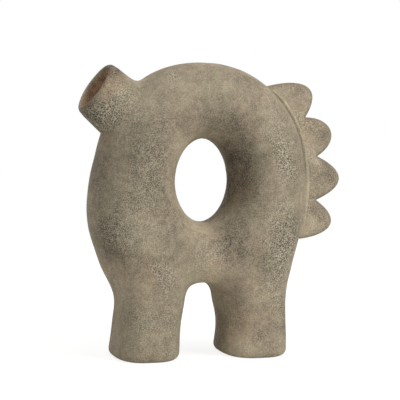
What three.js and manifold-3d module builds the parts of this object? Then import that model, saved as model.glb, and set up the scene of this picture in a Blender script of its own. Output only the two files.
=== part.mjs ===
// A hand-built stoneware vessel: a thick hollow ring standing on two stub legs, with a short
// slanted neck on the left shoulder and a scalloped comb on the right one.
// Millimetres, +Z up. The front faces -Y, the neck points to -X and up, the comb to +X.
import * as THREE from 'three';
import { LoftGeometry } from 'three/addons/geometries/LoftGeometry.js';
import { mergeVertices } from 'three/addons/utils/BufferGeometryUtils.js';
import Module from 'manifold-3d';

const wasm = await Module();
wasm.setup();

// Clay: walls, slip joints and the air left between a piece and the surface it is pressed on
const WALL = 6;
const SLIP = 1;
const SEAT_GAP = 0.3;

// Ring: its centre height, outer half sizes and the oval hole through it
const RING_HEIGHT = 185.5;
const RING_HALF_WIDTH = 106;
const RING_HALF_RISE = 106.5;
const RING_HALF_DEPTH = 49;
const RING_SQUARENESS = 2.2;
const HOLE_HALF_WIDTH = 29.5;
const HOLE_HALF_RISE = 42;
const HOLE_SHIFT = 1.5;
const HOLE_DROP = 11.5;

// Legs: heights above the floor, or distances from the ring's centre, where their width is set
const SHIN_HEIGHT = 30;
const ANKLE_HEIGHT = 58;
const CALF_HEIGHT = 92;
const HIP_DROP = 50.5;
const SHOULDER_RISE = 44.5;

// Legs: distance of the outer edge from the middle, and its bulge past the ring at the waist
const LEFT_FOOT_OUT = 92;
const LEFT_SHIN_OUT = 87.5;
const LEFT_ANKLE_OUT = 86;
const LEFT_CALF_OUT = 100;
const LEFT_HIP_OUT = 113;
const LEFT_WAIST_BULGE = 3;
const RIGHT_FOOT_OUT = 85;
const RIGHT_SHIN_OUT = 84.5;
const RIGHT_ANKLE_OUT = 85;
const RIGHT_CALF_OUT = 93;
const RIGHT_HIP_OUT = 103.5;
const RIGHT_WAIST_BULGE = 1;

// Legs: distance of the inner edge from the middle, and the arch between them
const LEFT_FOOT_IN = 26;
const LEFT_SHIN_IN = 24.5;
const LEFT_ARCH_IN = 19.5;
const RIGHT_FOOT_IN = 18;
const RIGHT_SHIN_IN = 20.5;
const RIGHT_ARCH_IN = 15.5;
const ARCH_CROWN = 14;
const CROTCH_WEB = 4;

// Legs: half depth, edge of the foot and the slab that closes it
const FOOT_HALF_DEPTH = 50;
const ANKLE_HALF_DEPTH = 46;
const LEG_SQUARENESS = 2.6;
const FOOT_EDGE_RADIUS = 7;
const SOLE = 8;

// How far the legs lap into the ring, and into each other above the arch
const LEG_TUCK = 2.5;
const CROTCH_LAP = 25;

// Neck: a tapered tube on the ring's shoulder, its tilt in degrees, and the coil round its foot
const NECK_ANGLE = 143;
const NECK_LENGTH = 30;
const NECK_MOUTH_RADIUS = 27;
const NECK_ROOT_RADIUS = 31;
const NECK_WALL = 5;
const NECK_COIL_WIDTH = 4;
const NECK_COIL_RISE = 3;

// Comb: a slab of four lobes parted by notches, and the coil along its root
const COMB_THICKNESS = 22;
const COMB_EDGE_RADIUS = 8;
const COMB_COIL = 4;

// Comb: each notch's angle about the ring's centre in degrees, and its rise off the ring
const COMB_TOP_ANGLE = 48.5;
const COMB_TOP_RISE = 3;
const FIRST_NOTCH_ANGLE = 25;
const FIRST_NOTCH_RISE = 15.5;
const SECOND_NOTCH_ANGLE = 6;
const SECOND_NOTCH_RISE = 18;
const THIRD_NOTCH_ANGLE = -15;
const THIRD_NOTCH_RISE = 20;
const COMB_END_ANGLE = -35;
const COMB_END_RISE = 20;

// Comb: how far the two control points of a lobe's curve stand out from the line between its
// notches, and their distances along that line from the upper and the lower notch
const FIRST_LOBE_REACH = 34;
const FIRST_LOBE_UPPER_LEAN = 26;
const FIRST_LOBE_LOWER_LEAN = 3.5;
const SECOND_LOBE_REACH = 29;
const SECOND_LOBE_UPPER_LEAN = 9;
const SECOND_LOBE_LOWER_LEAN = 6.5;
const THIRD_LOBE_REACH = 31;
const THIRD_LOBE_UPPER_LEAN = 18;
const THIRD_LOBE_LOWER_LEAN = 14;
const FOURTH_LOBE_REACH = 33;
const FOURTH_LOBE_UPPER_LEAN = 5;
const FOURTH_LOBE_LOWER_LEAN = 19.5;

// Fineness of the round surfaces
const RING_STEPS = 36;
const SECTION_STEPS = 20;
const LEG_STEPS = 15;
const ROUND_EDGE_STEPS = 3;
const ARCH_STEPS = 3;
const NECK_STEPS = 24;
const LIP_STEPS = 4;
const LOBE_STEPS = 9;

const CLAY_COLOUR = 0x8f8271;
const SLIP_COLOUR = 0x9d8f7c;
const NECK_COLOUR = 0x94836f;
const COMB_COLOUR = 0x99896f;

// Places that follow from the sizes above
const BEYOND = 2 * (RING_HEIGHT + RING_HALF_RISE);
const RING_BOTTOM = RING_HEIGHT - RING_HALF_RISE;
const RING_MIDDLE = (RING_HALF_WIDTH + HOLE_HALF_WIDTH) / 2;
const HOLE_HEIGHT = RING_HEIGHT - HOLE_DROP;
const LAP_HEIGHT = (RING_BOTTOM + HOLE_HEIGHT - HOLE_HALF_RISE) / 2;
const HIP_HEIGHT = RING_HEIGHT - HIP_DROP;
const SHOULDER_HEIGHT = RING_HEIGHT + SHOULDER_RISE;
const ARCH_HEIGHT = RING_BOTTOM - CROTCH_WEB;
const ARCH_SPRING = ARCH_HEIGHT - ARCH_CROWN;
const LEG_TOP = SOLE + SLIP;
const NECK_SEAT = ringRadius(NECK_ANGLE);
const NECK_REACH = NECK_SEAT + NECK_LENGTH;

// Distance from the ring's centre to its outer edge at an angle in degrees
function ringRadius(degrees) {
  const angle = THREE.MathUtils.degToRad(degrees);
  return 1 / Math.hypot(Math.cos(angle) / RING_HALF_WIDTH, Math.sin(angle) / RING_HALF_RISE);
}

// A place in the X-Z plane at an angle in degrees and a distance from the ring's centre
function aroundRing(degrees, distance) {
  const angle = THREE.MathUtils.degToRad(degrees);
  return new THREE.Vector2(distance * Math.cos(angle), RING_HEIGHT + distance * Math.sin(angle));
}

// Turns a closed geometry into a solid that can be joined and cut
function solidOf(geometry) {
  const bare = new THREE.BufferGeometry();
  bare.setAttribute('position', geometry.getAttribute('position'));
  bare.setIndex(geometry.getIndex());
  const welded = mergeVertices(bare);
  return new wasm.Manifold(new wasm.Mesh({
    numProp: 3,
    vertProperties: new Float32Array(welded.getAttribute('position').array),
    triVerts: new Uint32Array(welded.getIndex().array),
  }));
}

// A named mesh of a finished solid
function meshOf(name, solid, colour) {
  const shape = solid.getMesh();
  const geometry = new THREE.BufferGeometry();
  geometry.setAttribute('position', new THREE.BufferAttribute(shape.vertProperties, 3));
  geometry.setIndex(new THREE.BufferAttribute(shape.triVerts, 1));
  geometry.computeVertexNormals();
  const material = new THREE.MeshStandardMaterial({ color: colour, roughness: 0.95, metalness: 0 });
  const mesh = new THREE.Mesh(geometry, material);
  mesh.name = name;
  return mesh;
}

// A slice of space between two places on one axis, wider than the vessel on the other two
function slice(axis, from, to) {
  const size = new THREE.Vector3().setScalar(2 * BEYOND);
  const middle = new THREE.Vector3();
  size[axis] = to - from;
  middle[axis] = (from + to) / 2;
  const box = new THREE.BoxGeometry(size.x, size.y, size.z);
  return solidOf(box.translate(middle.x, middle.y, middle.z));
}

// A flat outline in the X-Z plane made into a plate from one depth to another
function plate(shape, nearY, farY, edge = 0) {
  const geometry = new THREE.ExtrudeGeometry(shape, {
    depth: farY - nearY - 2 * edge,
    curveSegments: LOBE_STEPS,
    bevelEnabled: edge > 0,
    bevelThickness: edge,
    bevelSize: edge,
    bevelOffset: -edge,
    bevelSegments: ROUND_EDGE_STEPS,
  });
  geometry.rotateX(Math.PI / 2);
  geometry.translate(0, farY - edge, 0);
  return solidOf(geometry);
}

// A sine or cosine drawn towards a squarish oval, with its sign kept
function softened(value, squareness) {
  return Math.sign(value) * Math.abs(value) ** (2 / squareness);
}

// One squarish oval section between its edges "high" and "low", deepest along Y at its centre
function ovalSection(centre, high, low, halfDepth, squareness) {
  const points = [];
  for (let step = 0; step < SECTION_STEPS; step += 1) {
    const angle = (2 * Math.PI * step) / SECTION_STEPS;
    const across = softened(Math.cos(angle), squareness);
    const point = centre.clone().lerp(across > 0 ? high : low, Math.abs(across));
    point.y = halfDepth * softened(Math.sin(angle), squareness);
    points.push(point);
  }
  return points;
}

// The ring as a solid, its surface moved out by "grow", or in where that is negative
function ringSolid(grow) {
  const sections = [];
  for (let step = 0; step <= RING_STEPS; step += 1) {
    const angle = (2 * Math.PI * (step % RING_STEPS)) / RING_STEPS;
    const outer = new THREE.Vector3(
      RING_HALF_WIDTH * Math.cos(angle),
      0,
      RING_HEIGHT + RING_HALF_RISE * Math.sin(angle),
    );
    const inner = new THREE.Vector3(
      HOLE_SHIFT + HOLE_HALF_WIDTH * Math.cos(angle),
      0,
      HOLE_HEIGHT + HOLE_HALF_RISE * Math.sin(angle),
    );
    const centre = outer.clone().lerp(inner, 0.5);
    const outward = outer.clone().sub(inner).normalize();
    outer.addScaledVector(outward, grow);
    inner.addScaledVector(outward, -grow);
    sections.push(ovalSection(centre, outer, inner, RING_HALF_DEPTH + grow, RING_SQUARENESS));
  }
  return solidOf(new LoftGeometry(sections));
}

// A smooth line of widths over heights
function widthLine(heights, widths) {
  const line = new THREE.CubicInterpolant(heights, widths, 1);
  return (height) => line.evaluate(height)[0];
}

// The outer edge of a leg, from the foot up to where it sinks into the ring's shoulder
function outerLine(footOut, shinOut, ankleOut, calfOut, hipOut, waistBulge) {
  const shoulder = RING_HALF_WIDTH * Math.sqrt(1 - (SHOULDER_RISE / RING_HALF_RISE) ** 2);
  return widthLine(
    [0, SHIN_HEIGHT, ANKLE_HEIGHT, CALF_HEIGHT, HIP_HEIGHT, RING_HEIGHT, SHOULDER_HEIGHT],
    [footOut, shinOut, ankleOut, calfOut, hipOut, RING_HALF_WIDTH + waistBulge, shoulder - LEG_TUCK],
  );
}

// The inner edge of a leg: up the shin, round the crown of the arch, then lapped past the
// middle of the crotch and away from the hole
function innerLine(footIn, shinIn, archIn) {
  const shin = widthLine([0, ARCH_SPRING / 2, ARCH_SPRING], [footIn, shinIn, archIn]);
  const hip = widthLine(
    [RING_BOTTOM, LAP_HEIGHT, HIP_HEIGHT, RING_HEIGHT, SHOULDER_HEIGHT],
    [-CROTCH_LAP, -CROTCH_LAP, HOLE_HALF_WIDTH, RING_MIDDLE, RING_MIDDLE],
  );
  return (height) => {
    if (height <= ARCH_SPRING) {
      return shin(height);
    }
    if (height <= ARCH_HEIGHT) {
      return archIn * Math.sqrt(1 - ((height - ARCH_SPRING) / ARCH_CROWN) ** 2);
    }
    return hip(height);
  };
}

const legDepth = widthLine(
  [0, ANKLE_HEIGHT, (RING_BOTTOM + HIP_HEIGHT) / 2, RING_HEIGHT, SHOULDER_HEIGHT],
  [FOOT_HALF_DEPTH, ANKLE_HALF_DEPTH, RING_HALF_DEPTH - LEG_TUCK, RING_MIDDLE / 2, RING_MIDDLE / 4],
);

// A leg on one side of the middle, -1 for left and 1 for right. It is deepest half-way between its
// outer edge and a line that runs up from the foot's inner edge past the arch
function legOn(side, footIn, outer, inner) {
  const pastArch = widthLine(
    [0, HIP_HEIGHT, RING_HEIGHT, SHOULDER_HEIGHT],
    [footIn, HOLE_HALF_WIDTH, RING_MIDDLE, RING_MIDDLE],
  );
  const middle = (height) => (outer(height) + pastArch(height)) / 2;
  return { side, outer, inner, middle };
}

const LEGS = {
  left: legOn(
    -1,
    LEFT_FOOT_IN,
    outerLine(
      LEFT_FOOT_OUT,
      LEFT_SHIN_OUT,
      LEFT_ANKLE_OUT,
      LEFT_CALF_OUT,
      LEFT_HIP_OUT,
      LEFT_WAIST_BULGE,
    ),
    innerLine(LEFT_FOOT_IN, LEFT_SHIN_IN, LEFT_ARCH_IN),
  ),
  right: legOn(
    1,
    RIGHT_FOOT_IN,
    outerLine(
      RIGHT_FOOT_OUT,
      RIGHT_SHIN_OUT,
      RIGHT_ANKLE_OUT,
      RIGHT_CALF_OUT,
      RIGHT_HIP_OUT,
      RIGHT_WAIST_BULGE,
    ),
    innerLine(RIGHT_FOOT_IN, RIGHT_SHIN_IN, RIGHT_ARCH_IN),
  ),
};

// The heights of a leg's sections above its floor, with more of them round the crown of the arch
function legLevels(floor) {
  const levels = [RING_BOTTOM];
  for (let step = 0; step <= LEG_STEPS; step += 1) {
    levels.push(floor + ((SHOULDER_HEIGHT - floor) * step) / LEG_STEPS);
  }
  for (let step = 0; step <= ARCH_STEPS; step += 1) {
    levels.push(ARCH_SPRING + ARCH_CROWN * Math.sin((Math.PI * step) / (2 * ARCH_STEPS)));
  }
  return levels.sort((low, high) => low - high);
}

// One section of a leg at a height, moved out by "grow"
function legSection(leg, height, grow) {
  const outer = new THREE.Vector3(leg.side * (leg.outer(height) + grow), 0, height);
  const inner = new THREE.Vector3(leg.side * (leg.inner(height) - grow), 0, height);
  const centre = new THREE.Vector3(leg.side * leg.middle(height), 0, height);
  const [high, low] = leg.side > 0 ? [outer, inner] : [inner, outer];
  return ovalSection(centre, high, low, legDepth(height) + grow, LEG_SQUARENESS);
}

// A leg as a solid from its floor up into the ring, its lower edge rounded
function legSolid(leg, grow, floor, edgeRadius) {
  const sections = [];
  for (let step = 0; step < ROUND_EDGE_STEPS && edgeRadius > 0; step += 1) {
    const angle = (Math.PI * step) / (2 * ROUND_EDGE_STEPS);
    const height = floor + edgeRadius * (1 - Math.cos(angle));
    sections.push(legSection(leg, height, grow - edgeRadius * (1 - Math.sin(angle))));
  }
  for (const height of legLevels(floor + edgeRadius)) {
    sections.push(legSection(leg, height, grow));
  }
  return solidOf(new LoftGeometry(sections, { capStart: true, capEnd: true }));
}

// Ring and legs as one filled form: the outside, the hollow, or a trimmer for what sits on it
function bodyForm(grow, floor, edgeRadius) {
  return ringSolid(grow)
    .add(legSolid(LEGS.left, grow, floor, edgeRadius))
    .add(legSolid(LEGS.right, grow, floor, edgeRadius));
}

// A solid turned about the neck's axis from points of radius and distance from the ring's centre
function turnedOnNeck(profile) {
  const geometry = new THREE.LatheGeometry(profile, NECK_STEPS);
  geometry.rotateZ(THREE.MathUtils.degToRad(NECK_ANGLE - 90));
  geometry.rotateX(Math.PI / 2);
  geometry.translate(0, 0, RING_HEIGHT);
  return solidOf(geometry);
}

// Radius of the neck's outside at a distance from the ring's centre
function neckRadius(distance) {
  const share = (distance - NECK_SEAT) / NECK_LENGTH;
  return THREE.MathUtils.lerp(NECK_ROOT_RADIUS, NECK_MOUTH_RADIUS, share);
}

// A filled plug along the neck, "grow" outside the neck's surface, from inside the ring to the mouth
function neckPlug(grow) {
  return turnedOnNeck([
    new THREE.Vector2(0, RING_MIDDLE),
    new THREE.Vector2(neckRadius(RING_MIDDLE) + grow, RING_MIDDLE),
    new THREE.Vector2(neckRadius(NECK_REACH) + grow, NECK_REACH),
    new THREE.Vector2(0, NECK_REACH),
  ]);
}

// The neck tube with its rounded lip, still running down into the ring
function neckTube() {
  const lip = NECK_WALL / 2;
  const rootRadius = neckRadius(RING_MIDDLE);
  const profile = [
    new THREE.Vector2(rootRadius - NECK_WALL, RING_MIDDLE),
    new THREE.Vector2(rootRadius, RING_MIDDLE),
  ];
  for (let step = 0; step <= LIP_STEPS; step += 1) {
    const angle = (Math.PI * step) / LIP_STEPS;
    profile.push(new THREE.Vector2(
      NECK_MOUTH_RADIUS - lip + lip * Math.cos(angle),
      NECK_REACH - lip + lip * Math.sin(angle),
    ));
  }
  profile.push(profile[0].clone());
  return turnedOnNeck(profile);
}

// The four lobes from the top down, each with the notch that ends it
const LOBES = [
  {
    angle: FIRST_NOTCH_ANGLE,
    rise: FIRST_NOTCH_RISE,
    reach: FIRST_LOBE_REACH,
    upperLean: FIRST_LOBE_UPPER_LEAN,
    lowerLean: FIRST_LOBE_LOWER_LEAN,
  },
  {
    angle: SECOND_NOTCH_ANGLE,
    rise: SECOND_NOTCH_RISE,
    reach: SECOND_LOBE_REACH,
    upperLean: SECOND_LOBE_UPPER_LEAN,
    lowerLean: SECOND_LOBE_LOWER_LEAN,
  },
  {
    angle: THIRD_NOTCH_ANGLE,
    rise: THIRD_NOTCH_RISE,
    reach: THIRD_LOBE_REACH,
    upperLean: THIRD_LOBE_UPPER_LEAN,
    lowerLean: THIRD_LOBE_LOWER_LEAN,
  },
  {
    angle: COMB_END_ANGLE,
    rise: COMB_END_RISE,
    reach: FOURTH_LOBE_REACH,
    upperLean: FOURTH_LOBE_UPPER_LEAN,
    lowerLean: FOURTH_LOBE_LOWER_LEAN,
  },
];

// The scalloped outline of the whole comb, with its two ends running level into the ring
function combOutline() {
  const shape = new THREE.Shape();
  let notch = aroundRing(COMB_TOP_ANGLE, ringRadius(COMB_TOP_ANGLE) + COMB_TOP_RISE);
  shape.moveTo(HOLE_SHIFT, notch.y);
  shape.lineTo(notch.x, notch.y);
  for (const lobe of LOBES) {
    const next = aroundRing(lobe.angle, ringRadius(lobe.angle) + lobe.rise);
    const along = next.clone().sub(notch).normalize();
    const out = new THREE.Vector2(-along.y, along.x).multiplyScalar(lobe.reach);
    const upper = notch.clone().add(out).addScaledVector(along, lobe.upperLean);
    const lower = next.clone().add(out).addScaledVector(along, -lobe.lowerLean);
    shape.bezierCurveTo(upper.x, upper.y, lower.x, lower.y, next.x, next.y);
    notch = next;
  }
  shape.lineTo(RING_MIDDLE, notch.y);
  return shape;
}

// A wedge of space about the ring's centre between two angles in degrees, as deep as the comb
function wedge(from, to) {
  const shape = new THREE.Shape([
    aroundRing(from, 0),
    aroundRing(to, BEYOND),
    aroundRing((from + to) / 2, BEYOND),
    aroundRing(from, BEYOND),
  ]);
  return plate(shape, -COMB_THICKNESS, COMB_THICKNESS);
}

const vessel = new THREE.Group();
const outside = bodyForm(0, 0, FOOT_EDGE_RADIUS);
const seat = bodyForm(SEAT_GAP, 0, FOOT_EDGE_RADIUS);
const hollow = bodyForm(-WALL, SOLE, 0);
const clayWall = outside.subtract(hollow).subtract(neckPlug(-NECK_WALL));

// Two pressed halves of the body
const aboveSoles = clayWall.intersect(slice('z', LEG_TOP, BEYOND));
const frontHalf = aboveSoles.intersect(slice('y', -BEYOND, -SLIP / 2));
const backHalf = aboveSoles.intersect(slice('y', SLIP / 2, BEYOND));
vessel.add(meshOf('body_front_shell', frontHalf, CLAY_COLOUR));
vessel.add(meshOf('body_back_shell', backHalf, CLAY_COLOUR));

// The slip that joins the halves: round the hole, over the arch, and outside on each side of the neck
const seam = aboveSoles.intersect(slice('y', -SLIP / 2, SLIP / 2));
const ringMidline = new THREE.Shape().absellipse(
  HOLE_SHIFT / 2,
  (RING_HEIGHT + HOLE_HEIGHT) / 2,
  RING_MIDDLE,
  (RING_HALF_RISE + HOLE_HALF_RISE) / 2,
  0,
  2 * Math.PI,
);
const holeZone = plate(ringMidline, -SLIP, SLIP);
const archZone = slice('x', -(LEFT_FOOT_IN + LEFT_FOOT_OUT) / 2, (RIGHT_FOOT_IN + RIGHT_FOOT_OUT) / 2)
  .intersect(slice('z', 0, LAP_HEIGHT));
const neckLine = aroundRing(NECK_ANGLE, BEYOND);
const leftZone = plate(new THREE.Shape([
  aroundRing(0, 0),
  neckLine,
  new THREE.Vector2(neckLine.x, 0),
  new THREE.Vector2(0, 0),
]), -SLIP, SLIP);
const outerSeam = seam.subtract(holeZone).subtract(archZone);
vessel.add(meshOf('seam_slip_hole', seam.intersect(holeZone).subtract(archZone), SLIP_COLOUR));
vessel.add(meshOf('seam_slip_arch', seam.intersect(archZone), SLIP_COLOUR));
vessel.add(meshOf('seam_slip_left', outerSeam.intersect(leftZone), SLIP_COLOUR));
vessel.add(meshOf('seam_slip_right', outerSeam.subtract(leftZone), SLIP_COLOUR));

// A slab under each leg, and the slip between slab and leg
for (const [name, leg] of Object.entries(LEGS)) {
  const legSide = slice('x', Math.min(0, leg.side * BEYOND), Math.max(0, leg.side * BEYOND));
  const slab = outside.intersect(slice('z', -BEYOND, SOLE)).intersect(legSide);
  const slip = clayWall.intersect(slice('z', SOLE, LEG_TOP)).intersect(legSide);
  vessel.add(meshOf(`${name}_sole`, slab, CLAY_COLOUR));
  vessel.add(meshOf(`${name}_sole_slip`, slip, SLIP_COLOUR));
}

// The neck, trimmed to the ring, and the clay coil worked in round its foot
const neckCoil = bodyForm(SEAT_GAP + NECK_COIL_RISE, 0, FOOT_EDGE_RADIUS)
  .subtract(seat)
  .intersect(neckPlug(SEAT_GAP + NECK_COIL_WIDTH))
  .subtract(neckPlug(SEAT_GAP));
vessel.add(meshOf('neck', neckTube().subtract(seat), NECK_COLOUR));
vessel.add(meshOf('neck_coil', neckCoil, NECK_COLOUR));

// The comb, trimmed to the ring and parted at its notches
const combFace = COMB_THICKNESS / 2;
const combEdge = Math.min(COMB_EDGE_RADIUS, combFace - SEAT_GAP);
const comb = plate(combOutline(), -combFace, combFace, combEdge).subtract(seat);
const kerf = THREE.MathUtils.radToDeg(SEAT_GAP / 2 / RING_HALF_WIDTH);
LOBES.forEach((lobe, index) => {
  const last = index === LOBES.length - 1;
  const from = index === 0 ? NECK_ANGLE : LOBES[index - 1].angle - kerf;
  const to = last ? lobe.angle - NECK_ANGLE / 2 : lobe.angle + kerf;
  vessel.add(meshOf(`comb_lobe_${index + 1}`, comb.intersect(wedge(from, to)), COMB_COLOUR));
});

// A thin clay coil along each side of the comb's root
const coilBand = bodyForm(SEAT_GAP + COMB_COIL, 0, FOOT_EDGE_RADIUS).subtract(seat);
const coilNear = combFace + SEAT_GAP;
const coilFar = coilNear + COMB_COIL;
const frontCoil = coilBand.intersect(plate(combOutline(), -coilFar, -coilNear));
const backCoil = coilBand.intersect(plate(combOutline(), coilNear, coilFar));
vessel.add(meshOf('comb_coil_front', frontCoil, COMB_COLOUR));
vessel.add(meshOf('comb_coil_back', backCoil, COMB_COLOUR));

// The origin lies on the floor, under the middle of the whole vessel
const bounds = new THREE.Box3().setFromObject(vessel);
vessel.position.x = -(bounds.min.x + bounds.max.x) / 2;

export default vessel;
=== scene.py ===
"""Looks of the ring vessel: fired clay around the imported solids, on a pale floor in soft light.

Metres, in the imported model's frame: +Z up, the front towards -Y, the neck towards -X, the comb towards +X.
"""

import logging
import math
from collections.abc import Sequence
from dataclasses import dataclass, field
from enum import Enum

import bpy
import numpy as np
from bpy.types import Material, Mesh, Node, NodeSocket, Object
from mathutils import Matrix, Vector, noise
from mathutils.bvhtree import BVHTree


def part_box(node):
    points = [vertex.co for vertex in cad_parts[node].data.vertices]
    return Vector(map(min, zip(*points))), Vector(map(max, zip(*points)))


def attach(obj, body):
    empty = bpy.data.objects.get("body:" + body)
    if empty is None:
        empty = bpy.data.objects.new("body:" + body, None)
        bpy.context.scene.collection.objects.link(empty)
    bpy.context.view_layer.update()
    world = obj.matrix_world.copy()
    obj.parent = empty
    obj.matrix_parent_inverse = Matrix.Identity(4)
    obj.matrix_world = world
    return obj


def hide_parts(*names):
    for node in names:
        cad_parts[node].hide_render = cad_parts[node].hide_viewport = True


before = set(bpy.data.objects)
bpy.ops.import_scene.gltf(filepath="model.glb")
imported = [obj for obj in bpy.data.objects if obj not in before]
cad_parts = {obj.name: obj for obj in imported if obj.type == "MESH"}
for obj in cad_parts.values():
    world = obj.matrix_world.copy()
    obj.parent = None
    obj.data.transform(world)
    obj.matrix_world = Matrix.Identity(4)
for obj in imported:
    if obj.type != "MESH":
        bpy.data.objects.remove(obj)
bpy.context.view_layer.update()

LOG = logging.getLogger("vessel")
MM = 0.001
SHARP_EDGE = math.radians(50)

Colour = tuple[float, float, float, float]
Source = NodeSocket | float | Sequence[float] | np.ndarray


class Slot(Enum):
    """Material slots of the record."""

    BODY = "body_clay"
    SLIP = "slip"
    NECK = "neck_clay"
    COMB = "comb_clay"


class Join(Enum):
    """Ways to set one closed mesh against another."""

    CUT = "DIFFERENCE"
    KEEP = "INTERSECT"


def tint(code: str) -> Colour:
    """Turn a colour code into linear light.

    Args:
        code: six hexadecimal digits, as seen on a screen.

    Returns:
        Red, green, blue and a full alpha.
    """
    shares = [int(code[place:place + 2], 16) / 255 for place in (0, 2, 4)]
    linear = [s / 12.92 if s <= 0.04045 else ((s + 0.055) / 1.055) ** 2.4 for s in shares]
    return (linear[0], linear[1], linear[2], 1.0)


def eased(values: np.ndarray, low: float, high: float) -> np.ndarray:
    """Rise smoothly from 0 at low to 1 at high."""
    share = np.clip((values - low) / (high - low), 0, 1)
    return share * share * (3 - 2 * share)


def smooth_line(places: Sequence[float], widths: Sequence[float], at: np.ndarray) -> np.ndarray:
    """Read a smooth curve that passes through given widths.

    Args:
        places: heights at which the widths are set, rising.
        widths: the widths there.
        at: heights to read; past the ends the end width holds.

    Returns:
        The widths at those heights.
    """
    knots = np.asarray(places, float)
    values = np.asarray(widths, float)
    slopes = np.gradient(values, knots)
    start = np.clip(np.searchsorted(knots, at) - 1, 0, len(knots) - 2)
    span = knots[start + 1] - knots[start]
    t = np.clip((at - knots[start]) / span, 0, 1)
    rise = t * t * (3 - 2 * t)
    first = t * (1 - t) ** 2 * span * slopes[start]
    second = -t * t * (1 - t) * span * slopes[start + 1]
    return values[start] * (1 - rise) + values[start + 1] * rise + first + second


def new_piece(name: str, points: np.ndarray, faces: Sequence[Sequence[int]]) -> Object:
    """Make a mesh object at the origin.

    Args:
        name: the object's name.
        points: vertices in the frame, one row each.
        faces: rows of vertex numbers.

    Returns:
        The new object, linked to the scene.
    """
    mesh = bpy.data.meshes.new(name)
    mesh.from_pydata([tuple(point) for point in points], [], [tuple(face) for face in faces])
    mesh.validate()
    piece = bpy.data.objects.new(name, mesh)
    bpy.context.scene.collection.objects.link(piece)
    return piece


def copied(piece: Object, name: str) -> Object:
    """Make a copy of a piece with a mesh of its own.

    Args:
        piece: the piece to copy.
        name: the copy's name.

    Returns:
        The copy, linked to the scene.
    """
    twin = piece.copy()
    twin.data = piece.data.copy()
    twin.name = name
    bpy.context.scene.collection.objects.link(twin)
    return twin


def discard(*pieces: Object) -> None:
    """Remove pieces and their meshes."""
    for piece in pieces:
        bpy.data.meshes.remove(piece.data)


def joined(piece: Object, tool: Object, way: Join) -> Object:
    """Cut a closed piece by a closed tool, or keep only what lies in the tool.

    Args:
        piece: the mesh that changes.
        tool: the mesh that it is set against.
        way: how they are joined.

    Returns:
        The same piece.
    """
    change = piece.modifiers.new("join", "BOOLEAN")
    change.operation = way.value
    change.solver = "MANIFOLD"
    change.object = tool
    graph = bpy.context.evaluated_depsgraph_get()
    mesh = bpy.data.meshes.new_from_object(piece.evaluated_get(graph))
    piece.modifiers.clear()
    old = piece.data
    piece.data = mesh
    bpy.data.meshes.remove(old)
    mesh.name = piece.name
    return piece


def block(low: Sequence[float], high: Sequence[float]) -> Object:
    """Make a box-shaped tool between two corners.

    Args:
        low: its lowest corner.
        high: its highest corner.

    Returns:
        The tool.
    """
    corners = [[(low, high)[bit >> axis & 1][axis] for axis in range(3)] for bit in range(8)]
    faces = [(0, 2, 3, 1), (4, 5, 7, 6), (0, 1, 5, 4), (2, 6, 7, 3), (0, 4, 6, 2), (1, 3, 7, 5)]
    return new_piece("block", np.array(corners), faces)


def tube_faces(rows: int, columns: int, closed_rows: bool) -> list[tuple[int, int, int, int]]:
    """List the quads of a tube whose rows are closed loops of columns.

    Args:
        rows: number of loops.
        columns: vertices in a loop.
        closed_rows: whether the last loop joins the first.

    Returns:
        Vertex numbers of each quad.
    """
    faces = []
    for row in range(rows if closed_rows else rows - 1):
        ahead = (row + 1) % rows
        for column in range(columns):
            beside = (column + 1) % columns
            faces.append((
                row * columns + column,
                row * columns + beside,
                ahead * columns + beside,
                ahead * columns + column,
            ))
    return faces


@dataclass(frozen=True)
class RingSizes:
    """The thick ring: an outer oval, the oval hole, and a squarish section between them."""

    middle_x: float
    height: float = 185.5 * MM
    half_width: float = 106 * MM
    half_rise: float = 106.5 * MM
    half_depth: float = 49 * MM
    squareness: float = 2.2
    hole_half_width: float = 29.5 * MM
    hole_half_rise: float = 42 * MM
    hole_shift: float = 1.5 * MM
    hole_drop: float = 11.5 * MM
    least_share: float = -0.36
    most_share: float = 3.0
    halvings: int = 36

    @property
    def bottom(self) -> float:
        """Height of the ring's lowest point."""
        return self.height - self.half_rise

    @property
    def mid_width(self) -> float:
        """Distance of the section's middle from the ring's middle."""
        return (self.half_width + self.hole_half_width) / 2

    def radius(self, degrees: float) -> float:
        """Give the distance from the ring's centre to its outer edge at an angle in degrees."""
        angle = math.radians(degrees)
        return 1 / math.hypot(math.cos(angle) / self.half_width, math.sin(angle) / self.half_rise)

    def place(self, degrees: float, distance: float) -> np.ndarray:
        """Give a place in the X-Z plane at an angle in degrees and a distance from the ring's centre.

        Args:
            degrees: the angle, 0 towards +X and 90 towards +Z.
            distance: the distance.

        Returns:
            The place's X and Z.
        """
        angle = math.radians(degrees)
        return np.array([
            self.middle_x + distance * math.cos(angle),
            self.height + distance * math.sin(angle),
        ])

    def across(self, x: np.ndarray, z: np.ndarray) -> np.ndarray:
        """Tell how far across the section a place lies, -1 at the hole and 1 at the outer edge.

        Args:
            x: places along X.
            z: places along Z, of the same shape.

        Returns:
            The share across for each place.
        """
        low = np.full(x.shape, self.least_share)
        high = np.full(x.shape, self.most_share)
        for _ in range(self.halvings):
            share = (low + high) / 2
            centre_x = self.middle_x + self.hole_shift * (1 - share)
            centre_z = self.height - self.hole_drop * (1 - share)
            wide = self.hole_half_width + share * (self.half_width - self.hole_half_width)
            tall = self.hole_half_rise + share * (self.half_rise - self.hole_half_rise)
            outside = ((x - centre_x) / wide) ** 2 + ((z - centre_z) / tall) ** 2 > 1
            low = np.where(outside, share, low)
            high = np.where(outside, high, share)
        return low + high - 1


def ring_middle() -> float:
    """Find the ring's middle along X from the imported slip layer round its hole."""
    low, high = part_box("seam_slip_hole")
    return (low.x + high.x) / 2 - RingSizes.hole_shift


RING = RingSizes(middle_x=ring_middle())


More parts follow.
